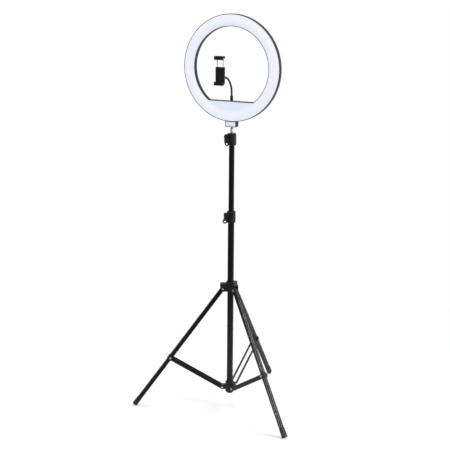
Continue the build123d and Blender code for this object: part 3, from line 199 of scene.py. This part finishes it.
def noise(material, scale, detail=4.0, roughness=0.6, stretch=(1.0, 1.0, 1.0)):
    """A noise pattern fixed to the object; stretch below 1 draws it out along that axis."""
    tree = material.node_tree
    place = tree.nodes.new("ShaderNodeTexCoord")
    mapping = tree.nodes.new("ShaderNodeMapping")
    mapping.inputs["Scale"].default_value = stretch
    pattern = tree.nodes.new("ShaderNodeTexNoise")
    pattern.inputs["Scale"].default_value = scale
    pattern.inputs["Detail"].default_value = detail
    pattern.inputs["Roughness"].default_value = roughness
    link(material, place.outputs["Object"], mapping.inputs["Vector"])
    link(material, mapping.outputs["Vector"], pattern.inputs["Vector"])
    return pattern.outputs["Fac"]


def ramp(material, source, low, high, from_low=0.35, from_high=0.65):
    """The pattern, spread between two values."""
    node = material.node_tree.nodes.new("ShaderNodeMapRange")
    node.inputs["From Min"].default_value = from_low
    node.inputs["From Max"].default_value = from_high
    node.inputs["To Min"].default_value = low
    node.inputs["To Max"].default_value = high
    link(material, source, node.inputs["Value"])
    return node.outputs["Result"]


def mix_colour(material, factor, first, second):
    """A colour between two, by the factor."""
    node = material.node_tree.nodes.new("ShaderNodeMix")
    node.data_type = "RGBA"
    for socket, value in ((node.inputs[6], first), (node.inputs[7], second)):
        if isinstance(value, tuple):
            socket.default_value = (*value, 1.0)
        else:
            link(material, value, socket)
    link(material, factor, node.inputs[0])
    return node.outputs[2]


def bump(material, shader, height, strength, distance):
    """Fine relief on the surface, this many metres deep."""
    node = material.node_tree.nodes.new("ShaderNodeBump")
    node.inputs["Strength"].default_value = strength
    node.inputs["Distance"].default_value = distance
    link(material, height, node.inputs["Height"])
    link(material, node.outputs["Normal"], shader.inputs["Normal"])


EDGE_REACH = 0.0012         # how far in from an edge wear shows
RUBBED_PAINT = (0.055, 0.055, 0.06)
TUBE_SPECULAR = 0.20
LEG_SPECULAR = 0.12
DULL_SPECULAR = 0.28
DARKENED = 0.8              # duller patches of bare metal


def edge_wear(material, reach=EDGE_REACH):
    """Near 1 within reach of an edge of the shape, 0 on its faces, broken up by noise."""
    tree = material.node_tree
    rounded = tree.nodes.new("ShaderNodeBevel")
    rounded.samples = 4
    rounded.inputs["Radius"].default_value = reach
    geometry = tree.nodes.new("ShaderNodeNewGeometry")
    agree = tree.nodes.new("ShaderNodeVectorMath")
    agree.operation = "DOT_PRODUCT"
    link(material, rounded.outputs["Normal"], agree.inputs[0])
    link(material, geometry.outputs["Normal"], agree.inputs[1])
    edge = ramp(material, agree.outputs["Value"], 1.0, 0.0, 0.86, 0.97)
    multiply = tree.nodes.new("ShaderNodeMath")
    multiply.operation = "MULTIPLY"
    link(material, edge, multiply.inputs[0])
    link(material, ramp(material, noise(material, 220.0), 0.0, 1.0, 0.45, 0.6), multiply.inputs[1])
    return multiply.outputs["Value"]


def powder_coat(name, dark, light, roughness, specular=TUBE_SPECULAR):
    """Satin black paint on steel: orange-peel relief, faint handling marks and rubbed edges."""
    material, shader = new_material(name, dark, roughness)
    cloud = ramp(material, noise(material, 5.0, 2.0), 0.0, 1.0, 0.25, 0.75)
    body = mix_colour(material, cloud, dark, light)
    rubbed = mix_colour(material, edge_wear(material), body, RUBBED_PAINT)
    link(material, rubbed, shader.inputs["Base Color"])
    streaks = noise(material, 60.0, 3.0, 0.5, (1.0, 1.0, 0.04))
    satin = ramp(material, streaks, roughness - 0.015, roughness + 0.03, 0.25, 0.75)
    link(material, satin, shader.inputs["Roughness"])
    shader.inputs["Specular IOR Level"].default_value = specular
    bump(material, shader, noise(material, 1100.0, 2.0), 0.05, 0.00001)
    return material


def moulded(name, dark, light, roughness, grain=2200.0, depth=0.00002, specular=0.4):
    """Moulded plastic with a fine spark-eroded grain and worn edges."""
    material, shader = new_material(name, dark, roughness)
    shader.inputs["Specular IOR Level"].default_value = specular
    cloud = ramp(material, noise(material, 25.0, 4.0), 0.0, 1.0)
    body = mix_colour(material, cloud, dark, light)
    bare = tuple(min(1.0, 2.2 * channel + 0.01) for channel in light)
    rubbed = mix_colour(material, edge_wear(material), body, bare)
    link(material, rubbed, shader.inputs["Base Color"])
    link(
        material,
        ramp(material, noise(material, 140.0, 3.0), roughness - 0.03, roughness + 0.04, 0.25, 0.75),
        shader.inputs["Roughness"],
    )
    bump(material, shader, noise(material, grain, 2.0), 0.10, depth)
    return material


def plated(name, colour, roughness, stretch=(1.0, 1.0, 0.05), scratch=900.0, metallic=1.0):
    """Bare or plated metal with fine lines left by the tool or by use."""
    material, shader = new_material(name, colour, roughness, metallic)
    lines = noise(material, scratch, 3.0, 0.7, stretch)
    patches = ramp(material, noise(material, 40.0), 0.0, 1.0)
    dull = tuple(DARKENED * channel for channel in colour)
    link(material, mix_colour(material, patches, colour, dull), shader.inputs["Base Color"])
    link(material, ramp(material, lines, roughness * 0.8, roughness * 1.4), shader.inputs["Roughness"])
    bump(material, shader, lines, 0.06, 0.00003)
    return material


SKIN = (0.46, 0.48, 0.53)   # what the lit diffuser reflects of the room
SKIN_SHADED = (0.43, 0.45, 0.50)
DIFFUSER_W = 0.0365
RING_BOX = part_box("ring_diffuser")
RING_CENTRE = tuple((low + high) / 2 for low, high in zip(*RING_BOX))
RING_OUTER_R = (RING_BOX[1][0] - RING_BOX[0][0]) / 2
RING_HOLE_R = RING_OUTER_R - DIFFUSER_W


def opal(name, centre, edge, glow, roughness=0.38, edge_shade=0.86):
    """Milky diffuser: a satin skin whose glow is brighter along the middle of the ring, where the light rows are,
    and darker towards the ring's inner and outer edges as painted shade of its rounded section.
    """
    material, shader = new_material(name, centre, roughness)
    blotch = ramp(material, noise(material, 14.0, 2.0), 0.0, 1.0, 0.3, 0.7)
    tint = mix_colour(material, blotch, centre, edge)
    tree = material.node_tree
    place = tree.nodes.new("ShaderNodeTexCoord")
    offset = tree.nodes.new("ShaderNodeVectorMath")
    offset.operation = "SUBTRACT"
    offset.inputs[1].default_value = RING_CENTRE
    flat = tree.nodes.new("ShaderNodeVectorMath")
    flat.operation = "MULTIPLY"
    flat.inputs[1].default_value = (1.0, 0.0, 1.0)
    radius = tree.nodes.new("ShaderNodeVectorMath")
    radius.operation = "LENGTH"
    link(material, place.outputs["Object"], offset.inputs[0])
    link(material, offset.outputs["Vector"], flat.inputs[0])
    link(material, flat.outputs["Vector"], radius.inputs[0])
    # the glow falls off towards both edges of the ring: partly the light rows in the middle, partly painted shade
    # of the domed section
    curve = tree.nodes.new("ShaderNodeFloatCurve")
    points = curve.mapping.curves[0].points
    points[0].location = (0.0, edge_shade)
    points[1].location = (1.0, edge_shade)
    points.new(0.5, 1.0)
    curve.mapping.update()
    share = ramp(material, radius.outputs["Value"], 0.0, 1.0, RING_HOLE_R, RING_OUTER_R)
    link(material, share, curve.inputs["Value"])
    shade = tree.nodes.new("ShaderNodeVectorMath")
    shade.operation = "SCALE"
    link(material, tint, shade.inputs[0])
    link(material, curve.outputs["Value"], shade.inputs["Scale"])
    link(material, mix_colour(material, blotch, SKIN, SKIN_SHADED), shader.inputs["Base Color"])
    link(material, shade.outputs["Vector"], shader.inputs["Emission Color"])
    shader.inputs["Emission Strength"].default_value = glow
    bump(material, shader, noise(material, 900.0, 1.0), 0.03, 0.00001)
    return material


def make_materials():
    """One material for each slot of the record."""
    return {
        "black_tube": powder_coat("black_tube", (0.008, 0.008, 0.009), (0.010, 0.010, 0.012), 0.24),
        "black_steel": powder_coat(
            "black_steel", (0.007, 0.007, 0.008), (0.009, 0.009, 0.010), 0.27, LEG_SPECULAR
        ),
        "black_plastic": moulded(
            "black_plastic", (0.008, 0.008, 0.009), (0.012, 0.012, 0.013), 0.46, specular=DULL_SPECULAR
        ),
        "bush_plastic": moulded("bush_plastic", (0.62, 0.61, 0.58), (0.70, 0.69, 0.66), 0.45),
        "steel": plated("steel", (0.52, 0.52, 0.53), 0.34, (1.0, 1.0, 1.0)),
        "chrome": plated("chrome", (0.82, 0.82, 0.83), 0.26, (1.0, 1.0, 6.0), metallic=0.45),
        "zinc": plated("zinc", (0.60, 0.60, 0.62), 0.30, (1.0, 1.0, 8.0), metallic=0.8),
        "diffuser": opal("diffuser", (0.80, 0.83, 0.96), (0.85, 0.87, 0.97), 0.76),
        "panel": opal("panel", (0.72, 0.80, 0.95), (0.76, 0.83, 0.96), 0.74, 0.30, 0.97),
        "board": moulded("board", (0.80, 0.80, 0.78), (0.84, 0.84, 0.82), 0.40),
        "chips": moulded("chips", (0.85, 0.72, 0.25), (0.90, 0.80, 0.35), 0.35),
        "green_board": moulded("green_board", (0.02, 0.12, 0.05), (0.03, 0.17, 0.07), 0.35),
        "inlet_plastic": moulded("inlet_plastic", (0.010, 0.010, 0.011), (0.014, 0.014, 0.015), 0.28),
        "button_plastic": moulded("button_plastic", (0.030, 0.030, 0.032), (0.040, 0.040, 0.042), 0.55),
        "socket_metal": plated("socket_metal", (0.60, 0.58, 0.53), 0.28, (1.0, 1.0, 8.0)),
        "neck_sleeve": moulded("neck_sleeve", (0.008, 0.008, 0.009), (0.014, 0.014, 0.015), 0.42),
        "neck_metal": plated("neck_metal", (0.045, 0.045, 0.048), 0.35, (1.0, 1.0, 8.0)),
        "pad_rubber": moulded("pad_rubber", (0.012, 0.012, 0.012), (0.020, 0.020, 0.020), 0.75),
    }


def dress_nodes(materials):
    """Gives every CAD node the material of its slot."""
    for subpart in frame["record"]["subparts"]:
        node = nodes[subpart["node"]]
        node.data.materials.clear()
        node.data.materials.append(materials[subpart["material_slot"]])


# ---------------------------------------------------------------- building pieces

def new_piece(name, body, slot_name, build):
    """A mesh piece that rides on a body and takes the finish of one slot."""
    mesh = bpy.data.meshes.new(name)
    shape = bmesh.new()
    build(shape)
    bmesh.ops.recalc_face_normals(shape, faces=shape.faces)
    shape.to_mesh(mesh)
    shape.free()
    for face in mesh.polygons:
        face.use_smooth = True
    piece = bpy.data.objects.new(name, mesh)
    bpy.context.scene.collection.objects.link(piece)
    mesh.materials.append(materials[slot_name])
    if body:
        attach(piece, body)
    return piece


def round_edges(piece, width, segments=3, angle=35.0):
    """Rounds the edges of a piece or a CAD node where it turns by more than the angle."""
    modifier = piece.modifiers.new("rounded edges", "BEVEL")
    modifier.width = width
    modifier.segments = segments
    modifier.limit_method = "ANGLE"
    modifier.angle_limit = math.radians(angle)


def plane_axes(axis):
    """Two unit vectors square to an axis and to each other."""
    axis = Vector(axis).normalized()
    first = axis.orthogonal().normalized()
    if abs(axis.z) < 0.9:
        first = (Vector((0, 0, 1)) - axis * axis.z).normalized()
    return first, axis.cross(first)


def lathe(shape, place, axis, profile, count=32, star=None):
    """Turns a profile of (distance along the axis, radius) round the axis.

    star(angle) scales the radius, for a fluted or many-sided piece."""
    axis = Vector(axis).normalized()
    first, second = plane_axes(axis)
    rings = []
    for along, radius in profile:
        ring = []
        for step in range(count):
            angle = 2 * math.pi * step / count
            reach = radius * (star(angle) if star else 1.0)
            out = (first * math.cos(angle) + second * math.sin(angle)) * reach
            ring.append(shape.verts.new(Vector(place) + axis * along + out))
        rings.append(ring)
    for lower, upper in zip(rings, rings[1:]):
        for step in range(count):
            following = (step + 1) % count
            shape.faces.new((lower[step], lower[following], upper[following], upper[step]))
    shape.faces.new(rings[0])
    shape.faces.new(rings[-1])


def hoop(shape, place, axis, profile, count=96, start=0.0, sweep=360.0):
    """Turns a closed profile of (distance along the axis, radius) into a ring, or an arc of one."""
    axis = Vector(axis).normalized()
    first, second = plane_axes(axis)
    whole = sweep >= 360.0
    rings = []
    for step in range(count if whole else count + 1):
        angle = math.radians(start + sweep * step / count)
        out = first * math.cos(angle) + second * math.sin(angle)
        spots = [Vector(place) + axis * along + out * radius for along, radius in profile]
        rings.append([shape.verts.new(spot) for spot in spots])
    pairs = list(zip(rings, rings[1:]))
    if whole:
        pairs.append((rings[-1], rings[0]))
    for here, there in pairs:
        for step in range(len(profile)):
            following = (step + 1) % len(profile)
            shape.faces.new((here[step], here[following], there[following], there[step]))
    if not whole:
        shape.faces.new(rings[0])
        shape.faces.new(rings[-1])


def hexagon(angle):
    """Scales a circle to a hexagon across its flats."""
    return math.cos(math.pi / 6) / math.cos((angle % (math.pi / 3)) - math.pi / 6)


def block(shape, centre, size, turn=None):
    """A box of this size, turned by a matrix about its centre."""
    place = Matrix.Translation(centre) @ (turn.to_4x4() if turn else Matrix.Identity(4))
    bmesh.ops.create_cube(shape, size=1.0, matrix=place @ Matrix.Diagonal((*size, 1.0)))


# ---------------------------------------------------------------- gooseneck

NECK_BEND_R = 0.057
NECK_PITCH = 0.0017
NECK_GROOVE = 0.0004
NECK_SIDES = 24
STEPS_PER_TURN = 6


def make_gooseneck():
    """The wound sleeve: a ribbed tube from the ferrule, up and over to the clamp's ball."""
    lower_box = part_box("neck_lower")
    upper_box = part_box("neck_upper")
    radius = (lower_box[1][0] - lower_box[0][0]) / 2
    foot = Vector((0, lower_box[1][1] - radius, lower_box[0][2]))
    tip = Vector((0, upper_box[0][1], upper_box[1][2] - radius))
    bend_foot_z = tip.z - NECK_BEND_R
    bend_end_y = foot.y - NECK_BEND_R
    rise = bend_foot_z - foot.z
    arc = NECK_BEND_R * math.pi / 2
    length = rise + arc + (bend_end_y - tip.y)

    def place(distance):
        """The point of the centre line at this distance, and the direction across it."""
        turn = min(max((distance - rise) / arc, 0.0), 1.0) * math.pi / 2
        across = Vector((0, math.cos(turn), math.sin(turn)))
        point = Vector((0, bend_end_y, bend_foot_z)) + across * NECK_BEND_R
        if distance < rise:
            point.z -= rise - distance
        if distance > rise + arc:
            point.y -= distance - rise - arc
        return point, across

    def build(shape):
        steps = int(length / NECK_PITCH * STEPS_PER_TURN)
        rings = []
        for step in range(steps + 1):
            distance = length * step / steps
            point, across = place(distance)
            ring = []
            for side in range(NECK_SIDES):
                angle = 2 * math.pi * side / NECK_SIDES
                wind = (distance / NECK_PITCH - side / NECK_SIDES) % 1.0
                reach = radius - NECK_GROOVE * abs(2 * wind - 1.0) ** 3
                direction = Vector((1, 0, 0)) * math.cos(angle) + across * math.sin(angle)
                ring.append(shape.verts.new(point + direction * reach))
            rings.append(ring)
        for first, second in zip(rings, rings[1:]):
            for side in range(NECK_SIDES):
                following = (side + 1) % NECK_SIDES
                shape.faces.new((first[side], first[following], second[following], second[side]))
        shape.faces.new(rings[0])
        shape.faces.new(rings[-1])

    sleeve = new_piece("gooseneck_sleeve", None, "neck_sleeve", build)
    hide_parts("neck_lower", "neck_upper")
    start = place(rise + arc * 0.2)[0]
    end = place(rise + arc * 0.8)[0]
    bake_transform(sleeve)


# ---------------------------------------------------------------- fastenings and small details

BOLT_HEAD_R = 0.0046
BOLT_HEAD_H = 0.0028


def make_bolt_heads():
    """The hexagon head of each collar bolt, on the far ear from its knob."""
    for place in ("middle", "top"):
        joint = joints[f"{place}_knob_turn"]
        axis = Vector(joint["axis"])
        middle = Vector(joint["pos_m"])
        far = min((vertex.co - middle).dot(axis) for vertex in nodes[f"{place}_knob_bolt"].data.vertices)
        head = middle + axis * far

        def build(shape, head=head, axis=axis):
            profile = [
                (0.0, BOLT_HEAD_R),
                (BOLT_HEAD_H * 0.72, BOLT_HEAD_R),
                (BOLT_HEAD_H * 0.92, BOLT_HEAD_R * 0.93),
                (BOLT_HEAD_H, BOLT_HEAD_R * 0.80),
            ]
            lathe(shape, head, -axis, profile, 36, hexagon)

        piece = new_piece(f"{place}_bolt_head", f"{place}_knob", "steel", build)
        round_edges(piece, 0.0002, 2)


MARK_W = 0.0032
MARK_LINE = 0.0007
MARK_RISE = 0.00025
BAR_RAISED = 1.02           # keeps a plus mark's upright off the plane of its crossbar


def make_button_marks():
    """Raised plus, minus and ring marks on the three buttons."""
    for number, mark in ((1, "minus"), (2, "ring"), (3, "plus")):
        low, high = (Vector(corner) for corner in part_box(f"button_{number}"))
        centre = Vector(((low.x + high.x) / 2, high.y, (low.z + high.z) / 2))

        def build(shape, centre=centre, mark=mark):
            if mark == "ring":
                inner, outer = MARK_W * 0.30, MARK_W * 0.50
                profile = [(0.0, inner), (MARK_RISE, inner), (MARK_RISE, outer), (0.0, outer)]
                hoop(shape, centre, (0, 1, 0), profile, 32)
                return
            lift = Vector((0, MARK_RISE / 2, 0))
            block(shape, centre + lift, (MARK_W, MARK_RISE, MARK_LINE))
            if mark == "plus":
                block(shape, centre + lift * BAR_RAISED, (MARK_LINE, MARK_RISE, MARK_W))

        new_piece(f"button_mark_{number}", f"button_{number}", "button_plastic", build)


SCREW_RECESS = 0.45         # a screw's socket, as a share of its head
SOCKET_SPREAD = 1.1
SCREW_SIDES = 36


def socket_screw(shape, place, axis, radius, height, depth=0.003):
    """A domed screw head with a hexagon socket, and a little of its shank."""
    axis = Vector(axis).normalized()
    first, second = plane_axes(axis)
    steps = [
        (-depth, radius * 0.5, False),
        (0.0, radius * 0.5, False),
        (0.0, radius, False),
        (height * 0.45, radius, False),
        (height * 0.8, radius * 0.88, False),
        (height, radius * 0.66, False),
        (height, radius * SCREW_RECESS, True),
        (height * 0.2, radius * SCREW_RECESS, True),
    ]
    rings = []
    for along, reach, socket in steps:
        ring = []
        for step in range(SCREW_SIDES):
            angle = 2 * math.pi * step / SCREW_SIDES
            out = reach * (hexagon(angle) * SOCKET_SPREAD if socket else 1.0)
            direction = first * math.cos(angle) + second * math.sin(angle)
            ring.append(shape.verts.new(Vector(place) + axis * along + direction * out))
        rings.append(ring)
    for lower, upper in zip(rings, rings[1:]):
        for step in range(SCREW_SIDES):
            following = (step + 1) % SCREW_SIDES
            shape.faces.new((lower[step], lower[following], upper[following], upper[step]))
    shape.faces.new(rings[0])
    shape.faces.new(rings[-1])


BACKWARD = Vector((0, 1, 0))
SCREW_COUNT = 6
FIRST_SCREW = 30            # degrees round the casing, from +X
SCREW_HEAD_R = 0.0025
SCREW_HEAD_H = 0.0011
SCREW_SUNK = 0.0013
CAD_HEAD_R = 0.0026         # the screw heads' radius in the CAD model
RIDGE_APART = 0.0085        # from the circle of screws to a ridge
RIDGE_START = -38.0
RIDGE_SWEEP = 256.0
RIDGE_PROFILE = ((-0.0002, -0.0009), (0.0005, -0.0005), (0.0005, 0.0005), (-0.0002, 0.0009))
BEZEL_MARGIN = 0.004
BEZEL_H = 0.0155
BEZEL_CORNER_R = 0.004
BEZEL_PROFILE = ((0.0, -0.0002), (0.0003, 0.0006), (0.0010, 0.0006), (0.0013, -0.0002))
FIN_COUNT = 11
FIN_PITCH = 0.0034
FIN_DROP = 0.024            # from the buttons down to the fins
FIN_SIZE = (0.0013, 0.0010, 0.013)
FIN_RISE = 0.0002
BLOCK_SCREW_X = 0.0145
BLOCK_SCREW_RISE = 0.0075
BLOCK_SCREW_R = 0.0026
BLOCK_SCREW_H = 0.0013


def back_centre():
    """The middle of the casing's back, and the radius of its circle of screws."""
    low, high = (Vector(corner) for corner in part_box("rear_casing"))
    screws = [Vector(corner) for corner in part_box("casing_screws")]
    radius = (screws[1].z - screws[0].z) / 2 - CAD_HEAD_R
    return Vector((0, high.y, (low.z + high.z) / 2)), radius


def make_casing_screws():
    """Domed screw heads with hexagon sockets."""
    centre, radius = back_centre()

    def build(shape):
        for number in range(SCREW_COUNT):
            angle = math.radians(FIRST_SCREW + 360 / SCREW_COUNT * number)
            place = centre + Vector((radius * math.cos(angle), -SCREW_SUNK, radius * math.sin(angle)))
            socket_screw(shape, place, BACKWARD, SCREW_HEAD_R, SCREW_HEAD_H)

    heads = new_piece("casing_screw_heads", "head", "steel", build)
    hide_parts("casing_screws")


def make_back_ridges():
    """Two fine ridges inside and outside the circle of screws."""
    centre, radius = back_centre()

    def build(shape):
        for side in (-1, 1):
            middle = radius + side * RIDGE_APART
            profile = [(rise, middle + aside) for rise, aside in RIDGE_PROFILE]
            hoop(shape, centre, BACKWARD, profile, 160, RIDGE_START, RIDGE_SWEEP)

    new_piece("back_ridges", "head", "black_plastic", build)


def button_row():
    """The height of the row of buttons, how far it reaches sideways, and the back's y."""
    corners = [Vector(corner) for number in (1, 3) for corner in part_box(f"button_{number}")]
    return (corners[0].z + corners[1].z) / 2, max(corner.x for corner in corners), back_centre()[0].y


def make_button_bezel():
    """A raised line round the three buttons."""
    row_z, reach, back_y = button_row()
    corner_x = reach + BEZEL_MARGIN - BEZEL_CORNER_R
    corner_z = BEZEL_H / 2 - BEZEL_CORNER_R

    def build(shape):
        outline = []
        for quarter, (side_x, side_z) in enumerate(((1, 1), (-1, 1), (-1, -1), (1, -1))):
            for step in range(7):
                angle = math.radians(90 * quarter + 15 * step)
                outline.append((side_x * corner_x, side_z * corner_z, math.cos(angle), math.sin(angle)))
        rings = []
        for inset, rise in BEZEL_PROFILE:
            radius = BEZEL_CORNER_R - inset
            ring = []
            for x, z, out_x, out_z in outline:
                spot = (x + radius * out_x, back_y + rise, row_z + z + radius * out_z)
                ring.append(shape.verts.new(spot))
            rings.append(ring)
        for first, second in zip(rings, rings[1:] + rings[:1]):
            for step in range(len(outline)):
                following = (step + 1) % len(outline)
                shape.faces.new((first[step], first[following], second[following], second[step]))

    new_piece("button_bezel", "head", "black_plastic", build)


def make_vent_fins():
    """Upright fins below the buttons."""
    row_z, _, back_y = button_row()

    def build(shape):
        for number in range(FIN_COUNT):
            x = (number - FIN_COUNT // 2) * FIN_PITCH
            block(shape, Vector((x, back_y + FIN_RISE, row_z - FIN_DROP)), FIN_SIZE)

    vents = new_piece("vent_fins", "head", "black_plastic", build)
    round_edges(vents, 0.0003, 2)


def make_block_screws():
    """The two screws in the back of the base block."""
    low, high = (Vector(corner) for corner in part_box("base_block"))

    def build(shape):
        for side in (-1, 1):
            place = Vector((side * BLOCK_SCREW_X, high.y, low.z + BLOCK_SCREW_RISE))
            socket_screw(shape, place, BACKWARD, BLOCK_SCREW_R, BLOCK_SCREW_H)

    new_piece("block_screws", "head", "steel", build)


GRIP_RIBS = 7
GRIP_RIB_W = 0.0016
GRIP_RIB_RISE = 0.0004
GRIP_MARGIN = 0.0025        # between the ribs and the lip's edges
LIP_H = 0.0115              # height of the clamp body's lower lip


def make_grip_ribs():
    """Upright ribs on the front of the phone clamp's two lips."""
    for node, body in (("clamp_jaw", "jaw"), ("clamp_body", "clamp")):
        low, high = (Vector(corner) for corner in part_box(node))
        top = high.z if node == "clamp_jaw" else low.z + LIP_H
        height = top - low.z - 2 * GRIP_MARGIN
        span = high.x - low.x - 2 * GRIP_MARGIN - GRIP_RIB_W

        def build(shape, low=low, height=height, span=span):
            for number in range(GRIP_RIBS):
                x = span * (number / (GRIP_RIBS - 1) - 0.5)
                centre = Vector((x, low.y, low.z + GRIP_MARGIN + height / 2))
                block(shape, centre, (GRIP_RIB_W, 2 * GRIP_RIB_RISE, height))

        ribs = new_piece(f"{node}_ribs", body, "black_plastic", build)
        round_edges(ribs, 0.0003, 2)


LEGS = ("left", "right", "rear")
BEAD_W = 0.0008             # rolled lips along a leg's outer face, in bare steel that paints a highlight line along the leg
BEAD_H = 0.0003
BEAD_INSET = 0.0028         # from the leg's side to the bead's middle
BEAD_CLEAR = 0.0015         # between a bead's end and the next fitting
HUB_COVER = 0.040           # how far below its pivot a leg's bead starts
BRACKET_HALF = 0.008
BRACKET_SHARE = 0.597       # place of the strut's bracket along the leg
FOOT_COVER = 0.026
LEG_END = 0.008             # the stretch of a leg's end that is measured
BEAD_STEPS = 8
BEAD_SUNK = 0.0001


def leg_frame(leg):
    """A leg's pivot, direction, outer and side normals, length, half depth and half width."""
    pivot = Vector(joints[f"leg_{leg}_pivot"]["pos_m"])
    outward = Vector((pivot.x, pivot.y, 0.0)).normalized()
    points = [vertex.co - pivot for vertex in nodes[f"leg_{leg}"].data.vertices]
    along = max(points, key=lambda point: point.length).normalized()
    for _ in range(4):
        outer = (outward - along * outward.dot(along)).normalized()
        length = max(point.dot(along) for point in points)
        rises = [point.dot(outer) for point in points if point.dot(along) > length - LEG_END]
        along = (along * length + outer * (max(rises) + min(rises)) / 2).normalized()
    across = along.cross(outer)
    sides = [point.dot(across) for point in points if point.dot(along) > length - LEG_END]
    depth = (max(rises) - min(rises)) / 2
    width = (max(sides) - min(sides)) / 2
    return pivot, along, outer, across, length, depth, width


def make_leg_highlight_beads():
    """Two fine lips along the outer face of each leg, above and below the strut's bracket, in bare steel: painted
    highlight lines along the leg.
    """
    for leg in LEGS:
        pivot, along, outer, across, length, depth, width = leg_frame(leg)
        bracket = length * BRACKET_SHARE
        runs = (
            (HUB_COVER, bracket - BRACKET_HALF - BEAD_CLEAR),
            (bracket + BRACKET_HALF + BEAD_CLEAR, length - FOOT_COVER - BEAD_CLEAR),
        )

        def build(shape):
            for side in (-1, 1):
                for start, stop in runs:
                    rings = []
                    centre = across * side * (width - BEAD_INSET) + outer * depth
                    for distance in (start, start + BEAD_W, stop - BEAD_W, stop):
                        full = 0.0 if distance in (start, stop) else 1.0
                        ring = []
                        for step in range(BEAD_STEPS + 1):
                            angle = math.pi * step / BEAD_STEPS
                            aside = math.cos(angle) * BEAD_W / 2 * (0.4 + 0.6 * full)
                            rise = math.sin(angle) * BEAD_H * full - BEAD_SUNK
                            point = pivot + along * distance + centre + across * aside + outer * rise
                            ring.append(shape.verts.new(point))
                        rings.append(ring)
                    for low, high in zip(rings, rings[1:]):
                        for step in range(BEAD_STEPS + 1):
                            following = (step + 1) % (BEAD_STEPS + 1)
                            shape.faces.new((low[step], low[following], high[following], high[step]))
                    shape.faces.new(rings[0])
                    shape.faces.new(rings[-1])

        # bare steel on the black leg paints the highlight lines of the leg's rounded edges
        new_piece(f"leg_beads_{leg}", f"leg_{leg}", "steel", build)


ROUNDINGS = {
    "upper_hub": 0.0007, "lower_hub": 0.0007, "middle_collar": 0.0007, "top_collar": 0.0007,
    "middle_knob": 0.0009, "top_knob": 0.0009, "spider_knob": 0.0009, "base_block": 0.0006,
    "clamp_body": 0.0007, "clamp_jaw": 0.0007, "cup_nut": 0.0004, "clamp_cup": 0.0003,
    "upper_rivets": 0.0009, "block_front": 0.0003, "neck_ferrule": 0.0004, "top_fitting": 0.0003,
    "socket_left": 0.0002, "socket_middle": 0.0002, "socket_right": 0.0002, "power_inlet": 0.0002,
    "lower_pad": 0.0003, "upper_pad": 0.0003,
}


def round_nodes():
    """Takes the sharpness off the CAD nodes' edges, as moulds and paint do."""
    for name, width in ROUNDINGS.items():
        round_edges(nodes[name], width)
    for leg in LEGS:
        round_edges(nodes[f"leg_{leg}"], 0.0004, 2)
        round_edges(nodes[f"foot_{leg}"], 0.0008)
        round_edges(nodes[f"strut_{leg}"], 0.0003, 2)
        round_edges(nodes[f"strut_rivets_{leg}"], 0.0008)


make_camera()
make_studio()
materials = make_materials()
dress_nodes(materials)
make_gooseneck()
make_bolt_heads()
make_button_marks()
make_casing_screws()
make_back_ridges()
make_button_bezel()
make_vent_fins()
make_block_screws()
make_grip_ribs()
make_leg_highlight_beads()
round_nodes()
